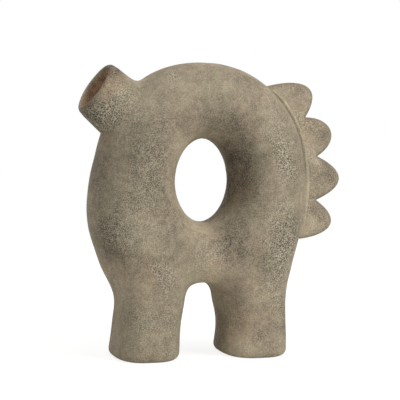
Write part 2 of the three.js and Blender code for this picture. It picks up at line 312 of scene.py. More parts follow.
@dataclass(frozen=True)
class LegSizes:
    """One leg: distances of its edges from the ring's middle at set heights."""

    side: int
    foot_out: float
    shin_out: float
    ankle_out: float
    calf_out: float
    hip_out: float
    waist_bulge: float
    foot_in: float
    shin_in: float
    arch_in: float
    shin_height: float = 30 * MM
    ankle_height: float = 58 * MM
    arch_spring: float = 61 * MM
    calf_height: float = 92 * MM
    hip_height: float = RING.height - 50.5 * MM
    shoulder_height: float = RING.height + 44.5 * MM
    tuck: float = 2.5 * MM
    foot_half_depth: float = 50 * MM
    ankle_half_depth: float = 46 * MM
    squareness: float = 2.6
    foot_edge: float = 7 * MM

    def outer(self, z: np.ndarray) -> np.ndarray:
        """Give the outer edge's distance from the middle.

        Args:
            z: the heights.

        Returns:
            The distances there.
        """
        rise = (self.shoulder_height - RING.height) / RING.half_rise
        shoulder = RING.half_width * math.sqrt(1 - rise * rise) - self.tuck
        return smooth_line(
            [0, self.shin_height, self.ankle_height, self.calf_height,
             self.hip_height, RING.height, self.shoulder_height],
            [self.foot_out, self.shin_out, self.ankle_out, self.calf_out,
             self.hip_out, RING.half_width + self.waist_bulge, shoulder],
            z,
        )

    def inner(self, z: np.ndarray) -> np.ndarray:
        """Give the inner edge's distance from the middle.

        Args:
            z: the heights.

        Returns:
            The distances there.
        """
        return smooth_line(
            [0, self.arch_spring / 2, self.arch_spring, RING.bottom, self.hip_height, RING.height],
            [self.foot_in, self.shin_in, self.arch_in, self.arch_in, RING.hole_half_width, RING.mid_width],
            z,
        )

    def depth(self, z: np.ndarray) -> np.ndarray:
        """Give the leg's half depth.

        Args:
            z: the heights.

        Returns:
            The half depths there.
        """
        return smooth_line(
            [0, self.ankle_height, (RING.bottom + self.hip_height) / 2, RING.height, self.shoulder_height],
            [self.foot_half_depth, self.ankle_half_depth, RING.half_depth - self.tuck,
             RING.mid_width / 2, RING.mid_width / 4],
            z,
        )


LEFT_LEG = LegSizes(
    side=-1, foot_out=92 * MM, shin_out=87.5 * MM, ankle_out=86 * MM, calf_out=100 * MM,
    hip_out=113 * MM, waist_bulge=3 * MM, foot_in=26 * MM, shin_in=24.5 * MM, arch_in=19.5 * MM,
)
RIGHT_LEG = LegSizes(
    side=1, foot_out=85 * MM, shin_out=84.5 * MM, ankle_out=85 * MM, calf_out=92 * MM,
    hip_out=103.5 * MM, waist_bulge=1 * MM, foot_in=18 * MM, shin_in=20.5 * MM, arch_in=15.5 * MM,
)


class ClayForm:
    """Distances to the outside of ring and legs on a grid, negative in the clay."""

    margin = 8 * MM
    arch_height = RING.bottom - 4 * MM
    arch_blend = 20 * MM
    web_half_rise = 24 * MM
    web_half_depth = 46 * MM
    web_half_width = 45 * MM
    web_edge = 20 * MM
    web_tilt = -0.12
    hip_blend = 26 * MM
    crease_reach = 14 * MM
    crease_blur = 7 * MM
    blur_reach = 2.5
    tiny = 1e-9
    cell_gap = 0.001
    least_slope = 1.0
    least_turn = 0.001
    least_steepness = 0.2
    settling_rounds = 3

    def __init__(self, pitch: float) -> None:
        """Fill the grid.

        Args:
            pitch: spacing of the grid.
        """
        self.pitch = pitch
        wide = LEFT_LEG.hip_out + self.margin
        low = (RING.middle_x - wide, -LEFT_LEG.foot_half_depth - self.margin, -self.margin)
        high = (RING.middle_x + wide, LEFT_LEG.foot_half_depth + self.margin,
                RING.height + RING.half_rise + self.margin)
        self.axes = [np.arange(a, b + pitch, pitch) for a, b in zip(low, high)]
        ring = self._ring()
        legs = self._web()
        for leg in (LEFT_LEG, RIGHT_LEG):
            legs = self._worked_in(legs, self._leg(leg), self.arch_blend)
        body = self._worked_in(ring, legs, self.hip_blend)
        near = np.exp(-((ring - legs) / self.crease_reach) ** 2)
        foot = eased(self.axes[2], RING.bottom / 2, RING.bottom)
        self.values = body + near * foot * (self._blurred(body) - body)

    def _spread(self) -> tuple[np.ndarray, np.ndarray, np.ndarray]:
        """Give the grid's X, Y and Z, shaped to combine with each other."""
        x, y, z = self.axes
        return x[:, None, None], y[None, :, None], z[None, None, :]

    def _distance(self, level: np.ndarray) -> np.ndarray:
        """Turn a level that is 1 on a surface into a distance from it."""
        slope = np.sqrt(sum(part ** 2 for part in np.gradient(level, self.pitch)))
        return (level - 1) / np.maximum(slope, self.least_slope)

    def _ring(self) -> np.ndarray:
        """Give the distances to the ring's surface.

        Returns:
            A grid of distances.
        """
        flat_x, flat_z = np.meshgrid(self.axes[0], self.axes[2], indexing="ij")
        across = np.abs(RING.across(flat_x, flat_z))[:, None, :]
        deep = np.abs(self._spread()[1]) / RING.half_depth
        power = RING.squareness
        return self._distance((across ** power + deep ** power) ** (1 / power))

    def _leg(self, leg: LegSizes) -> np.ndarray:
        """Give the distances to one leg's surface, with its lower edge rounded.

        Args:
            leg: the leg's sizes.

        Returns:
            A grid of distances.
        """
        x, y, z = self._spread()
        outer = leg.outer(z)
        inner = leg.inner(z)
        middle = (outer + inner) / 2
        reach = leg.side * (x - RING.middle_x)
        across = np.abs(reach - middle) / ((outer - inner) / 2)
        deep = np.abs(y) / leg.depth(z)
        power = leg.squareness
        side = self._distance((across ** power + deep ** power) ** (1 / power))
        side = np.maximum(side, z - leg.shoulder_height)
        edge = leg.foot_edge
        past_side = np.maximum(side + edge, 0)
        past_floor = np.maximum(edge - z, 0)
        inside = np.minimum(np.maximum(side + edge, edge - z), 0)
        return inside + np.sqrt(past_side ** 2 + past_floor ** 2) - edge

    def _web(self) -> np.ndarray:
        """Give the distances to the round-edged web that closes the arch between the legs.

        Returns:
            A grid of distances.
        """
        x, y, z = self._spread()
        edge = self.web_edge
        middle = self.arch_height + self.web_half_rise + self.web_tilt * (x - RING.middle_x)
        past = (
            np.abs(x - RING.middle_x) - self.web_half_width + edge,
            np.abs(y) - self.web_half_depth + edge,
            np.abs(z - middle) - self.web_half_rise + edge,
        )
        outside = np.sqrt(sum(np.maximum(part, 0) ** 2 for part in past))
        inside = np.minimum(np.maximum(np.maximum(past[0], past[1]), past[2]), 0)
        return outside + inside - edge

    def _worked_in(self, first: np.ndarray, second: np.ndarray, width: float) -> np.ndarray:
        """Join two forms with a fillet, wide where they meet squarely and slight where they run alike.

        Args:
            first: distances to one form.
            second: distances to the other.
            width: width of the fillet at a square corner.

        Returns:
            Distances to both as one form.
        """
        lean = 0.0
        length_first = self.tiny
        length_second = self.tiny
        for one, other in zip(np.gradient(first, self.pitch), np.gradient(second, self.pitch)):
            lean = lean + one * other
            length_first = length_first + one ** 2
            length_second = length_second + other ** 2
        turn = 1 - lean / np.sqrt(length_first * length_second)
        blend = width * np.clip(turn, self.least_turn, 1)
        share = np.clip(1 - np.abs(first - second) / blend, 0, 1)
        return np.minimum(first, second) - share ** 2 * blend / 4

    def _blurred(self, values: np.ndarray) -> np.ndarray:
        """Smooth a grid over the width of a worked crease.

        Args:
            values: the grid.

        Returns:
            The smoothed grid.
        """
        reach = int(math.ceil(self.blur_reach * self.crease_blur / self.pitch))
        steps = np.arange(-reach, reach + 1) * self.pitch
        weights = np.exp(-0.5 * (steps / self.crease_blur) ** 2)
        weights /= weights.sum()
        for axis in range(3):
            padded = np.pad(values, [(reach, reach) if a == axis else (0, 0) for a in range(3)], "edge")
            count = values.shape[axis]
            values = sum(
                weight * np.take(padded, range(start, start + count), axis)
                for start, weight in enumerate(weights)
            )
        return values

    def read(self, points: np.ndarray, values: np.ndarray) -> np.ndarray:
        """Read a grid between its points.

        Args:
            points: places, one row each.
            values: a grid of the form's shape.

        Returns:
            The value at each place.
        """
        start = np.array([axis[0] for axis in self.axes])
        limit = np.array(values.shape) - 1 - self.cell_gap
        place = np.clip((points - start) / self.pitch, 0, limit)
        cell = place.astype(int)
        part = place - cell
        total = np.zeros(len(points))
        for corner in range(8):
            bits = np.array([corner >> axis & 1 for axis in range(3)])
            weight = np.prod(np.where(bits, part, 1 - part), axis=1)
            at = cell + bits
            total += weight * values[at[:, 0], at[:, 1], at[:, 2]]
        return total

    def skin(self, values: np.ndarray) -> tuple[np.ndarray, np.ndarray]:
        """Stretch a mesh over the surface where a grid changes sign.

        Args:
            values: a grid of the form's shape, negative inside.

        Returns:
            Points of the surface, and its quads.
        """
        cells = tuple(count - 1 for count in values.shape)
        count = np.zeros(cells)
        total = np.zeros(cells + (3,))
        crossings = []
        for axis in range(3):
            others = [(axis + 1) % 3, (axis + 2) % 3]
            first = np.take(values, range(values.shape[axis] - 1), axis)
            second = np.take(values, range(1, values.shape[axis]), axis)
            crossing = (first < 0) != (second < 0)
            share = np.where(crossing, first / np.where(crossing, first - second, 1), 0)
            crossings.append((crossing, first < 0))
            spots = np.zeros(first.shape + (3,))
            for along in range(3):
                shape = [1, 1, 1]
                shape[along] = -1
                spots[..., along] = self.axes[along][:first.shape[along]].reshape(shape)
            spots[..., axis] += share * self.pitch
            for corner in range(4):
                view = [slice(None)] * 3
                for number, other in enumerate(others):
                    step = corner >> number & 1
                    view[other] = slice(step, step + cells[other])
                view = tuple(view)
                count += crossing[view]
                total += spots[view] * crossing[view][..., None]
        active = count > 0
        number = np.full(cells, -1)
        number[active] = np.arange(active.sum())
        points = total[active] / count[active][:, None]
        quads = []
        for axis, (crossing, opens) in enumerate(crossings):
            b, c = (axis + 1) % 3, (axis + 2) % 3
            edges = np.argwhere(crossing)
            kept = (edges[:, b] > 0) & (edges[:, c] > 0)
            kept &= (edges[:, b] < cells[b]) & (edges[:, c] < cells[c])
            edges = edges[kept]
            ring = []
            for step_b, step_c in ((1, 1), (0, 1), (0, 0), (1, 0)):
                cell = edges.copy()
                cell[:, b] -= step_b
                cell[:, c] -= step_c
                ring.append(number[cell[:, 0], cell[:, 1], cell[:, 2]])
            quad = np.stack(ring, axis=1)
            outward = opens[edges[:, 0], edges[:, 1], edges[:, 2]]
            quads.append(np.where(outward[:, None], quad, quad[:, ::-1]))
        return self._settled(points, values), np.concatenate(quads)

    def _settled(self, points: np.ndarray, values: np.ndarray) -> np.ndarray:
        """Move points along the slope onto the surface.

        Args:
            points: places near the surface, one row each.
            values: the grid that is 0 on the surface.

        Returns:
            The moved points.
        """
        slopes = np.gradient(values, self.pitch)
        for _ in range(self.settling_rounds):
            slope = np.stack([self.read(points, part) for part in slopes], axis=1)
            steep = np.maximum((slope ** 2).sum(axis=1), self.least_steepness)
            step = self.read(points, values) / steep
            points = points - np.clip(step, -self.pitch / 2, self.pitch / 2)[:, None] * slope
        return points


@dataclass
class Body:
    """The hollow ring and legs: two pressed halves, slip seams and slabs under the legs."""

    pitch: float = 2.0 * MM
    hollow_pitch: float = 3.0 * MM
    wall: float = 6 * MM
    slip: float = 1 * MM
    sole: float = 8 * MM
    swell: float = 0.7 * MM
    swell_width: float = 48 * MM
    dent: float = 0.16 * MM
    dent_width: float = 11 * MM
    seed: float = 3.7
    form: ClayForm = field(init=False)
    solid: Object = field(init=False)

    def __post_init__(self) -> None:
        """Make the filled form that everything is cut from."""
        self.form = ClayForm(self.pitch)
        points, quads = self.form.skin(self.form.values)
        self.solid = new_piece("filled_body", self._hand_worked(points), quads)

    def _hand_worked(self, points: np.ndarray) -> np.ndarray:
        """Give the surface the slow swells and shallow dents of hand work, with flat soles.

        Args:
            points: the smooth surface's points.

        Returns:
            The moved points.
        """
        slopes = np.gradient(self.form.values, self.pitch)
        slope = np.stack([self.form.read(points, part) for part in slopes], axis=1)
        slope /= np.linalg.norm(slope, axis=1)[:, None]
        shift = np.array([
            self.swell * noise.noise(Vector(point / self.swell_width) + Vector((self.seed, 0, 0)))
            + self.dent * noise.noise(Vector(point / self.dent_width) + Vector((0, self.seed, 0)))
            for point in points
        ])
        shift *= eased(points[:, 2], 0, 3 * self.sole)
        moved = points + slope * shift[:, None]
        moved[:, 2] = np.maximum(moved[:, 2], 0)
        return moved

    def surface(self) -> BVHTree:
        """Give the outer surface for finding where other pieces sit.

        Returns:
            A tree that lines can be cast at.
        """
        mesh = self.solid.data
        corners = [vertex.co for vertex in mesh.vertices]
        return BVHTree.FromPolygons(corners, [tuple(face.vertices) for face in mesh.polygons])

    def hollow(self) -> Object:
        """Make the tool that hollows the body, down to the slabs.

        Returns:
            The tool.
        """
        inside = ClayForm(self.hollow_pitch)
        floor = self.sole - inside.axes[2][None, None, :]
        points, quads = inside.skin(np.maximum(inside.values + self.wall, floor))
        return new_piece("hollow", points, quads)

    def pieces(self, bore: Object) -> dict[str, Object]:
        """Cut the body into its pieces.

        Args:
            bore: the tool that opens the wall below the neck.

        Returns:
            The pieces by the name of the node that each replaces.
        """
        hollow = self.hollow()
        clay = copied(self.solid, "clay")
        joined(clay, hollow, Join.CUT)
        joined(clay, bore, Join.CUT)
        far = 1.0
        half = self.slip / 2
        top = self.sole + self.slip
        zones = {
            "body_front_shell": ((-far, -far, top), (far, -half, far)),
            "body_back_shell": ((-far, half, top), (far, far, far)),
            "seams": ((-far, -half, top), (far, half, far)),
            "left_sole": ((-far, -far, -far), (RING.middle_x, far, self.sole)),
            "right_sole": ((RING.middle_x, -far, -far), (far, far, self.sole)),
            "left_sole_slip": ((-far, -far, self.sole), (RING.middle_x, far, top)),
            "right_sole_slip": ((RING.middle_x, -far, self.sole), (far, far, top)),
        }
        made = {}
        for node, (low, high) in zones.items():
            tool = block(low, high)
            made[node] = joined(copied(clay, node), tool, Join.KEEP)
            discard(tool)
        made.update(self._parted(made.pop("seams")))
        discard(clay, hollow)
        return made

    def _parted(self, seams: Object) -> dict[str, Object]:
        """Part the seam layer into its loose strips, each named for the node that it lies in.

        Args:
            seams: the whole seam layer, which is removed.

        Returns:
            The strips by the name of the node that each replaces.
        """
        mesh = seams.data
        leader = list(range(len(mesh.vertices)))

        def root(number: int) -> int:
            """Find the first vertex of a strip.

            Args:
                number: a vertex number.

            Returns:
                The number of its strip's first vertex.
            """
            while leader[number] != number:
                leader[number] = leader[leader[number]]
                number = leader[number]
            return number

        for edge in mesh.edges:
            leader[root(edge.vertices[0])] = root(edge.vertices[1])
        strips: dict[int, list[int]] = {}
        for face in mesh.polygons:
            strips.setdefault(root(face.vertices[0]), []).append(face.index)
        names = ["seam_slip_hole", "seam_slip_arch", "seam_slip_left", "seam_slip_right"]
        centres = {name: (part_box(name)[0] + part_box(name)[1]) / 2 for name in names}
        largest = sorted(strips.values(), key=len, reverse=True)[:len(names)]
        made = {}
        for faces in largest:
            used = sorted({number for face in faces for number in mesh.polygons[face].vertices})
            place = {number: index for index, number in enumerate(used)}
            points = np.array([mesh.vertices[number].co for number in used])
            middle = Vector((points.min(axis=0) + points.max(axis=0)) / 2)
            name = min(centres, key=lambda key: (centres[key] - middle).length)
            rows = [[place[number] for number in mesh.polygons[face].vertices] for face in faces]
            made[name] = new_piece(name, points, rows)
        discard(seams)
        return made


@dataclass
class Neck:
    """The slanted neck: a tapered tube with a rounded lip, and the coil worked in round its foot."""

    angle: float = 143.0
    length: float = 30 * MM
    mouth_radius: float = 28.2 * MM
    root_radius: float = 30.2 * MM
    mouth_lift: float = 0.8 * MM
    root_sag: float = 1.8 * MM
    wall: float = 6 * MM
    lip_rise: float = 6.0 * MM
    lip_out: float = 4.4 * MM
    lip_in_rise: float = 1.8 * MM
    low_cut: float = 2.6 * MM
    front_cut: float = 2.4 * MM
    root_depth: float = 22 * MM
    coil_above: float = 9.5 * MM
    coil_below: float = 2.0 * MM
    coil_side: float = 9.0 * MM
    coil_tuck: float = 0.6 * MM
    bore_core: float = 0.1 * MM
    wobble: float = 0.35 * MM
    wobble_width: float = 22 * MM
    steps: int = 120
    lip_steps: int = 12
    wall_steps: int = 16
    coil_steps: int = 8

    def __post_init__(self) -> None:
        """Set the neck's axis and its two cross directions."""
        angle = math.radians(self.angle)
        self.axis = np.array([math.cos(angle), 0, math.sin(angle)])
        self.upper = np.array([math.sin(angle), 0, -math.cos(angle)])
        self.back = np.array([0, 1.0, 0])
        self.centre = np.array([RING.middle_x, 0, RING.height]) + self.mouth_lift * self.upper
        self.seat = RING.radius(self.angle)
        self.reach = self.seat + self.length
        self.mouth_centre = self.centre + (self.reach - self.low_cut / 2) * self.axis
        lean = self.low_cut / 2 * self.upper + self.front_cut * self.back
        self.mouth_axis = self.axis - lean / self.mouth_radius

    def radius(self, distance: float) -> float:
        """Outer radius at a distance from the ring's centre."""
        share = (distance - self.seat) / self.length
        return self.root_radius + share * (self.mouth_radius - self.root_radius)

    def spot(self, turn: float, radius: float, distance: float) -> np.ndarray:
        """Give a place round the neck's axis.

        Args:
            turn: angle round the axis, 0 on the upper side.
            radius: distance from the axis.
            distance: distance along the axis from the ring's centre.

        Returns:
            The place in the frame.
        """
        round_axis = math.cos(turn) * self.upper + math.sin(turn) * self.back
        sag = self.root_sag * (self.reach - distance) / self.length
        return self.centre + distance * self.axis - sag * self.upper + radius * round_axis

    def _turned(self, name: str, profile: Sequence[tuple[float, float]], wobble: float) -> Object:
        """Turn a closed profile of radius and distance about the axis.

        Args:
            name: the piece's name.
            profile: rows of radius and distance along the axis.
            wobble: height of the hand-made unevenness.

        Returns:
            The closed piece.
        """
        points = []
        for step in range(self.steps):
            turn = 2 * math.pi * step / self.steps
            for radius, distance in profile:
                spot = self.spot(turn, radius, distance)
                sway = wobble * noise.noise(Vector(spot / self.wobble_width))
                points.append(self.spot(turn, radius + sway, distance + sway - self._cut(turn, distance)))
        return new_piece(name, np.array(points), tube_faces(self.steps, len(profile), True))

    def _cut(self, turn: float, distance: float) -> float:
        """Tell how much the mouth is cut back at a turn, more and more towards the lip."""
        share = min(max((distance - self.seat) / self.length, 0), 1)
        return share * (self.low_cut * (1 - math.cos(turn)) / 2 - self.front_cut * math.sin(turn))

    def bore(self) -> Object:
        """Make the tool that opens the body's wall below the neck.

        Returns:
            The tool.
        """
        start = RING.mid_width
        profile = [(self.bore_core, start), (self.bore_core, self.seat + self.wall)]
        for distance in (self.seat + self.wall, start):
            profile.append((self.radius(distance) - self.wall, distance))
        return self._turned("bore", profile, 0.0)

    def tube(self, body: Body) -> Object:
        """Make the tube with its rounded lip, its foot trimmed to the body.

        Args:
            body: the body that it stands on.

        Returns:
            The tube.
        """
        start = self.seat - self.root_depth
        crest = self.mouth_radius - self.lip_out
        lip_in = self.wall - self.lip_out
        shoulder = self.reach - self.lip_rise
        throat = self.reach - self.lip_in_rise
        profile = []
        for step in range(self.wall_steps):
            distance = start + (shoulder - start) * step / self.wall_steps
            profile.append((self.radius(distance), distance))
        for step in range(self.lip_steps + 1):
            angle = math.pi / 2 * step / self.lip_steps
            profile.append((
                crest + self.lip_out * math.cos(angle),
                shoulder + self.lip_rise * math.sin(angle),
            ))
        for step in range(1, self.lip_steps + 1):
            angle = math.pi / 2 * step / self.lip_steps
            profile.append((
                crest - lip_in * math.sin(angle),
                throat + self.lip_in_rise * math.cos(angle),
            ))
        for step in range(self.wall_steps):
            distance = throat + (start - throat) * (step + 1) / self.wall_steps
            profile.append((self.radius(distance) - self.wall, distance))
        return joined(self._turned("neck", profile, self.wobble), body.solid, Join.CUT)

    def coil(self, surface: BVHTree) -> Object:
        """Make the worked coil: a fillet from the neck's wall to the body, wider above than below.

        Args:
            surface: the body's outside.

        Returns:
            The coil.
        """
        points = []
        for step in range(self.steps):
            turn = 2 * math.pi * step / self.steps
            above = (1 + math.cos(turn)) / 2
            width = self.coil_below + (self.coil_above - self.coil_below) * above
            width += (self.coil_side - (self.coil_above + self.coil_below) / 2) * math.sin(turn) ** 2
            corner = self._landing(surface, turn, self.root_radius)
            foot = self._landing(surface, turn, self.root_radius + width)
            crest = corner + width * self.axis
            inward = (corner - foot) / np.linalg.norm(corner - foot)
            for part in range(self.coil_steps + 1):
                share = part / self.coil_steps
                arc = (1 - share) ** 2 * crest + 2 * share * (1 - share) * corner + share ** 2 * foot
                points.append(arc)
            points.append(foot - self.coil_tuck * self.axis)
            points.append(corner - self.coil_tuck * self.axis + self.coil_tuck * inward)
            points.append(crest + 2 * self.coil_tuck * inward)
        columns = len(points) // self.steps
        return new_piece("neck_coil", np.array(points), tube_faces(self.steps, columns, True))

    def _landing(self, surface: BVHTree, turn: float, radius: float) -> np.ndarray:
        """Find where a line beside the neck's axis meets the body.

        Args:
            surface: the body's outside.
            turn: angle round the axis, 0 on the upper side.
            radius: distance of the line from the axis.

        Returns:
            The place where they meet.
        """
        start = self.spot(turn, radius, self.seat) + self.length * self.axis
        hit = surface.ray_cast(Vector(start), Vector(-self.axis))[0]
        return np.array(hit)


@dataclass(frozen=True)
class Lobe:
    """One lobe of the comb: the notch that ends it, and the pull of its curve's two control points."""

    notch_angle: float
    notch_rise: float
    reach: float
    upper_lean: float
    lower_lean: float


@dataclass
class Comb:
    """The scalloped comb: four pillowed lobes parted at their notches, and the bead along their root."""

    top_angle: float = 49.5
    top_rise: float = 3 * MM
    lobes: tuple[Lobe, ...] = (
        Lobe(25, 15.5 * MM, 34 * MM, 26 * MM, 3.5 * MM),
        Lobe(5.5, 18 * MM, 29 * MM, 9 * MM, 6.5 * MM),
        Lobe(-15, 20.5 * MM, 32 * MM, 14 * MM, 14 * MM),
        Lobe(-35, 20 * MM, 33 * MM, 5 * MM, 19.5 * MM),
    )
    half_thickness: float = 11 * MM
    edge: float = 10 * MM
    root_depth: float = 14 * MM
    end_depth: float = 22 * MM
    crease: float = 1.5 * MM
    crease_width: float = 1.7 * MM
    crease_run: float = 16 * MM
    bead: float = 3.5 * MM
    bead_lift: float = 1.1 * MM
    bead_inset: float = 1.0
    bead_aside: float = 0.4
    bead_end_share: float = 0.35
    bead_end_run: float = 0.1
    lobe_steps: int = 44
    end_steps: int = 14
    rows: int = 26
    bead_steps: int = 120
    bead_sides: int = 14

    def __post_init__(self) -> None:
        """Lay out the outline and its notches."""
        self.notches = [RING.place(self.top_angle, RING.radius(self.top_angle) + self.top_rise)]
        for lobe in self.lobes:
            distance = RING.radius(lobe.notch_angle) + lobe.notch_rise
            self.notches.append(RING.place(lobe.notch_angle, distance))
        self.outline = self._outline()

    def _outline(self) -> np.ndarray:
        """Give the outline in the X-Z plane, from the upper end in the body round to the lower one.

        Returns:
            Places in that plane, one row each.
        """
        inward = np.array([self.end_depth, 0])
        first, last = self.notches[0], self.notches[-1]
        ends = np.linspace(0, 1, self.end_steps, endpoint=False)[:, None]
        rows = [first - inward * (1 - ends)]
        for start, end, lobe in zip(self.notches, self.notches[1:], self.lobes):
            along = (end - start) / np.linalg.norm(end - start)
            out = lobe.reach * np.array([-along[1], along[0]])
            upper = start + lobe.upper_lean * along + out
            lower = end - lobe.lower_lean * along + out
            t = np.linspace(0, 1, self.lobe_steps, endpoint=False)[:, None]
            rows.append((1 - t) ** 3 * start + 3 * t * (1 - t) ** 2 * upper
                        + 3 * t ** 2 * (1 - t) * lower + t ** 3 * end)
        rows.append(last - inward * ends)
        rows.append((last - inward)[None, :])
        return np.concatenate(rows)

    def _from_edge(self, places: np.ndarray) -> np.ndarray:
        """Measure how far places in the X-Z plane are from the outline.

        Args:
            places: one row each.

        Returns:
            The distances.
        """
        start = self.outline[:-1]
        along = self.outline[1:] - start
        length = (along ** 2).sum(axis=1)
        apart = places[:, None, :] - start[None]
        share = np.clip((apart * along[None]).sum(axis=2) / length, 0, 1)
        return np.linalg.norm(apart - share[..., None] * along[None], axis=2).min(axis=1)

    def thickness(self, places: np.ndarray) -> np.ndarray:
        """Half thickness of the slab at places in the X-Z plane.

        Args:
            places: one row each.

        Returns:
            The half thickness, none at the outline.
        """
        share = np.clip(self._from_edge(places) / self.edge, 0, 1)
        half = self.half_thickness * np.sqrt(1 - (1 - share) ** 2)
        centre = np.array([RING.middle_x, RING.height])
        for notch in self.notches[1:-1]:
            inward = (centre - notch) / np.linalg.norm(centre - notch)
            along = (places - notch) @ inward
            beside = (places - notch) @ np.array([-inward[1], inward[0]])
            fade = 1 - eased(along, 0, self.crease_run)
            half = half - self.crease * fade * share * np.exp(-(beside / self.crease_width) ** 2)
        return np.maximum(half, 0)

    def slab(self) -> Object:
        """Make the whole comb as one closed slab whose root reaches into the body.

        Returns:
            The slab.
        """
        count = len(self.outline)
        centre = np.array([RING.middle_x, RING.height])
        apart = self.outline - centre
        angles = np.degrees(np.arctan2(apart[:, 1], apart[:, 0]))
        roots = np.array([RING.place(angle, RING.radius(angle) - self.root_depth) for angle in angles])
        shares = np.sin(np.linspace(0, math.pi / 2, self.rows))
        flat = roots[None] + shares[:, None, None] * (self.outline - roots)[None]
        half = self.thickness(flat.reshape(-1, 2)).reshape(self.rows, count)
        half[-1] = 0
        front = np.stack([flat[..., 0], -half, flat[..., 1]], axis=2)
        back = np.stack([flat[..., 0], half, flat[..., 1]], axis=2)[:-1][::-1]
        loops = np.concatenate([front, back]).transpose(1, 0, 2)
        sides = loops.shape[1]
        faces = tube_faces(count, sides, False)
        ends = [tuple(range(sides))[::-1], tuple(range((count - 1) * sides, count * sides))]
        return new_piece("comb", loops.reshape(-1, 3), faces + ends)

    def lobe_pieces(self, slab: Object) -> list[Object]:
        """Part the comb at its notches.

        Args:
            slab: the whole comb, trimmed to the body.

        Returns:
            The lobes from the top down.
        """
        last = self.lobes[-1].notch_angle - self.top_angle
        angles = [2 * self.top_angle, *(lobe.notch_angle for lobe in self.lobes[:-1]), last]
        made = []
        for number, (start, end) in enumerate(zip(angles, angles[1:]), 1):
            tool = self._wedge(start, end)
            made.append(joined(copied(slab, f"comb_lobe_{number}"), tool, Join.KEEP))
            discard(tool)
        return made

    def _wedge(self, start: float, end: float) -> Object:
        """Make a wedge-shaped tool about the ring's centre between two angles in degrees.

        Args:
            start: the upper angle.
            end: the lower angle.

        Returns:
            The tool.
        """
        far = 4 * RING.half_width
        flat = [RING.place(0, 0), *(RING.place(a, far) for a in (start, (start + end) / 2, end))]
        deep = 4 * self.half_thickness
        points = [(x, y, z) for y in (-deep, deep) for x, z in flat]
        count = len(flat)
        faces = [tuple(range(count))[::-1], tuple(range(count, 2 * count))]
        for step in range(count):
            ahead = (step + 1) % count
            faces.append((step, ahead, count + ahead, count + step))
        return new_piece("wedge", np.array(points), faces)

    def root_bead(self, body: Body, slab: Object, surface: BVHTree, side: int) -> Object:
        """Make the bead of clay along the comb's root.

        Args:
            body: the body that it lies on.
            slab: the whole comb, trimmed to the body.
            surface: the body's outside.
            side: -1 for the front, 1 for the back.

        Returns:
            The bead, trimmed to the body and the comb.
        """
        first = self.top_angle - self.bead_inset
        last = self.lobes[-1].notch_angle + self.bead_inset
        points = []
        for step in range(self.bead_steps):
            share = step / (self.bead_steps - 1)
            angle = first + share * (last - first)
            from_end = np.array(min(share, 1 - share))
            swelling = (1 - self.bead_end_share) * float(eased(from_end, 0, self.bead_end_run))
            taper = self.bead_end_share + swelling
            radius = self.bead * taper
            outward = np.array([math.cos(math.radians(angle)), 0, math.sin(math.radians(angle))])
            edge = RING.place(angle, RING.radius(angle) + radius)
            face = float(self.thickness(edge[None])[0])
            centre = self._landing(surface, angle, side * (face + self.bead_aside * radius))
            centre = centre + self.bead_lift * taper * outward
            for part in range(self.bead_sides):
                turn = 2 * math.pi * part / self.bead_sides
                round_line = math.cos(turn) * outward + np.array([0, math.sin(turn), 0])
                points.append(centre + radius * round_line)
        faces = tube_faces(self.bead_steps, self.bead_sides, False)
        end = (self.bead_steps - 1) * self.bead_sides
        faces.append(tuple(range(self.bead_sides))[::-1])
        faces.append(tuple(range(end, end + self.bead_sides)))
        bead = new_piece("bead", np.array(points), faces)
        return joined(joined(bead, body.solid, Join.CUT), slab, Join.CUT)

    def _landing(self, surface: BVHTree, angle: float, y: float) -> np.ndarray:
        """Find the body's surface at an angle about the ring's centre and a place along Y.

        Args:
            surface: the body's outside.
            angle: the angle in degrees.
            y: the place along Y.

        Returns:
            The place on the surface.
        """
        outward = Vector((math.cos(math.radians(angle)), 0, math.sin(math.radians(angle))))
        x, z = RING.place(angle, 2 * RING.half_width)
        hit = surface.ray_cast(Vector((x, y, z)), -outward)[0]
        return np.array(hit)


@dataclass(frozen=True)
class Cloud:
    """Soft noise: the width of its patches, its finer layers, its shift and the range that is eased."""

    width: float
    detail: float
    shift: float
    low: float = 0.3
    high: float = 0.7


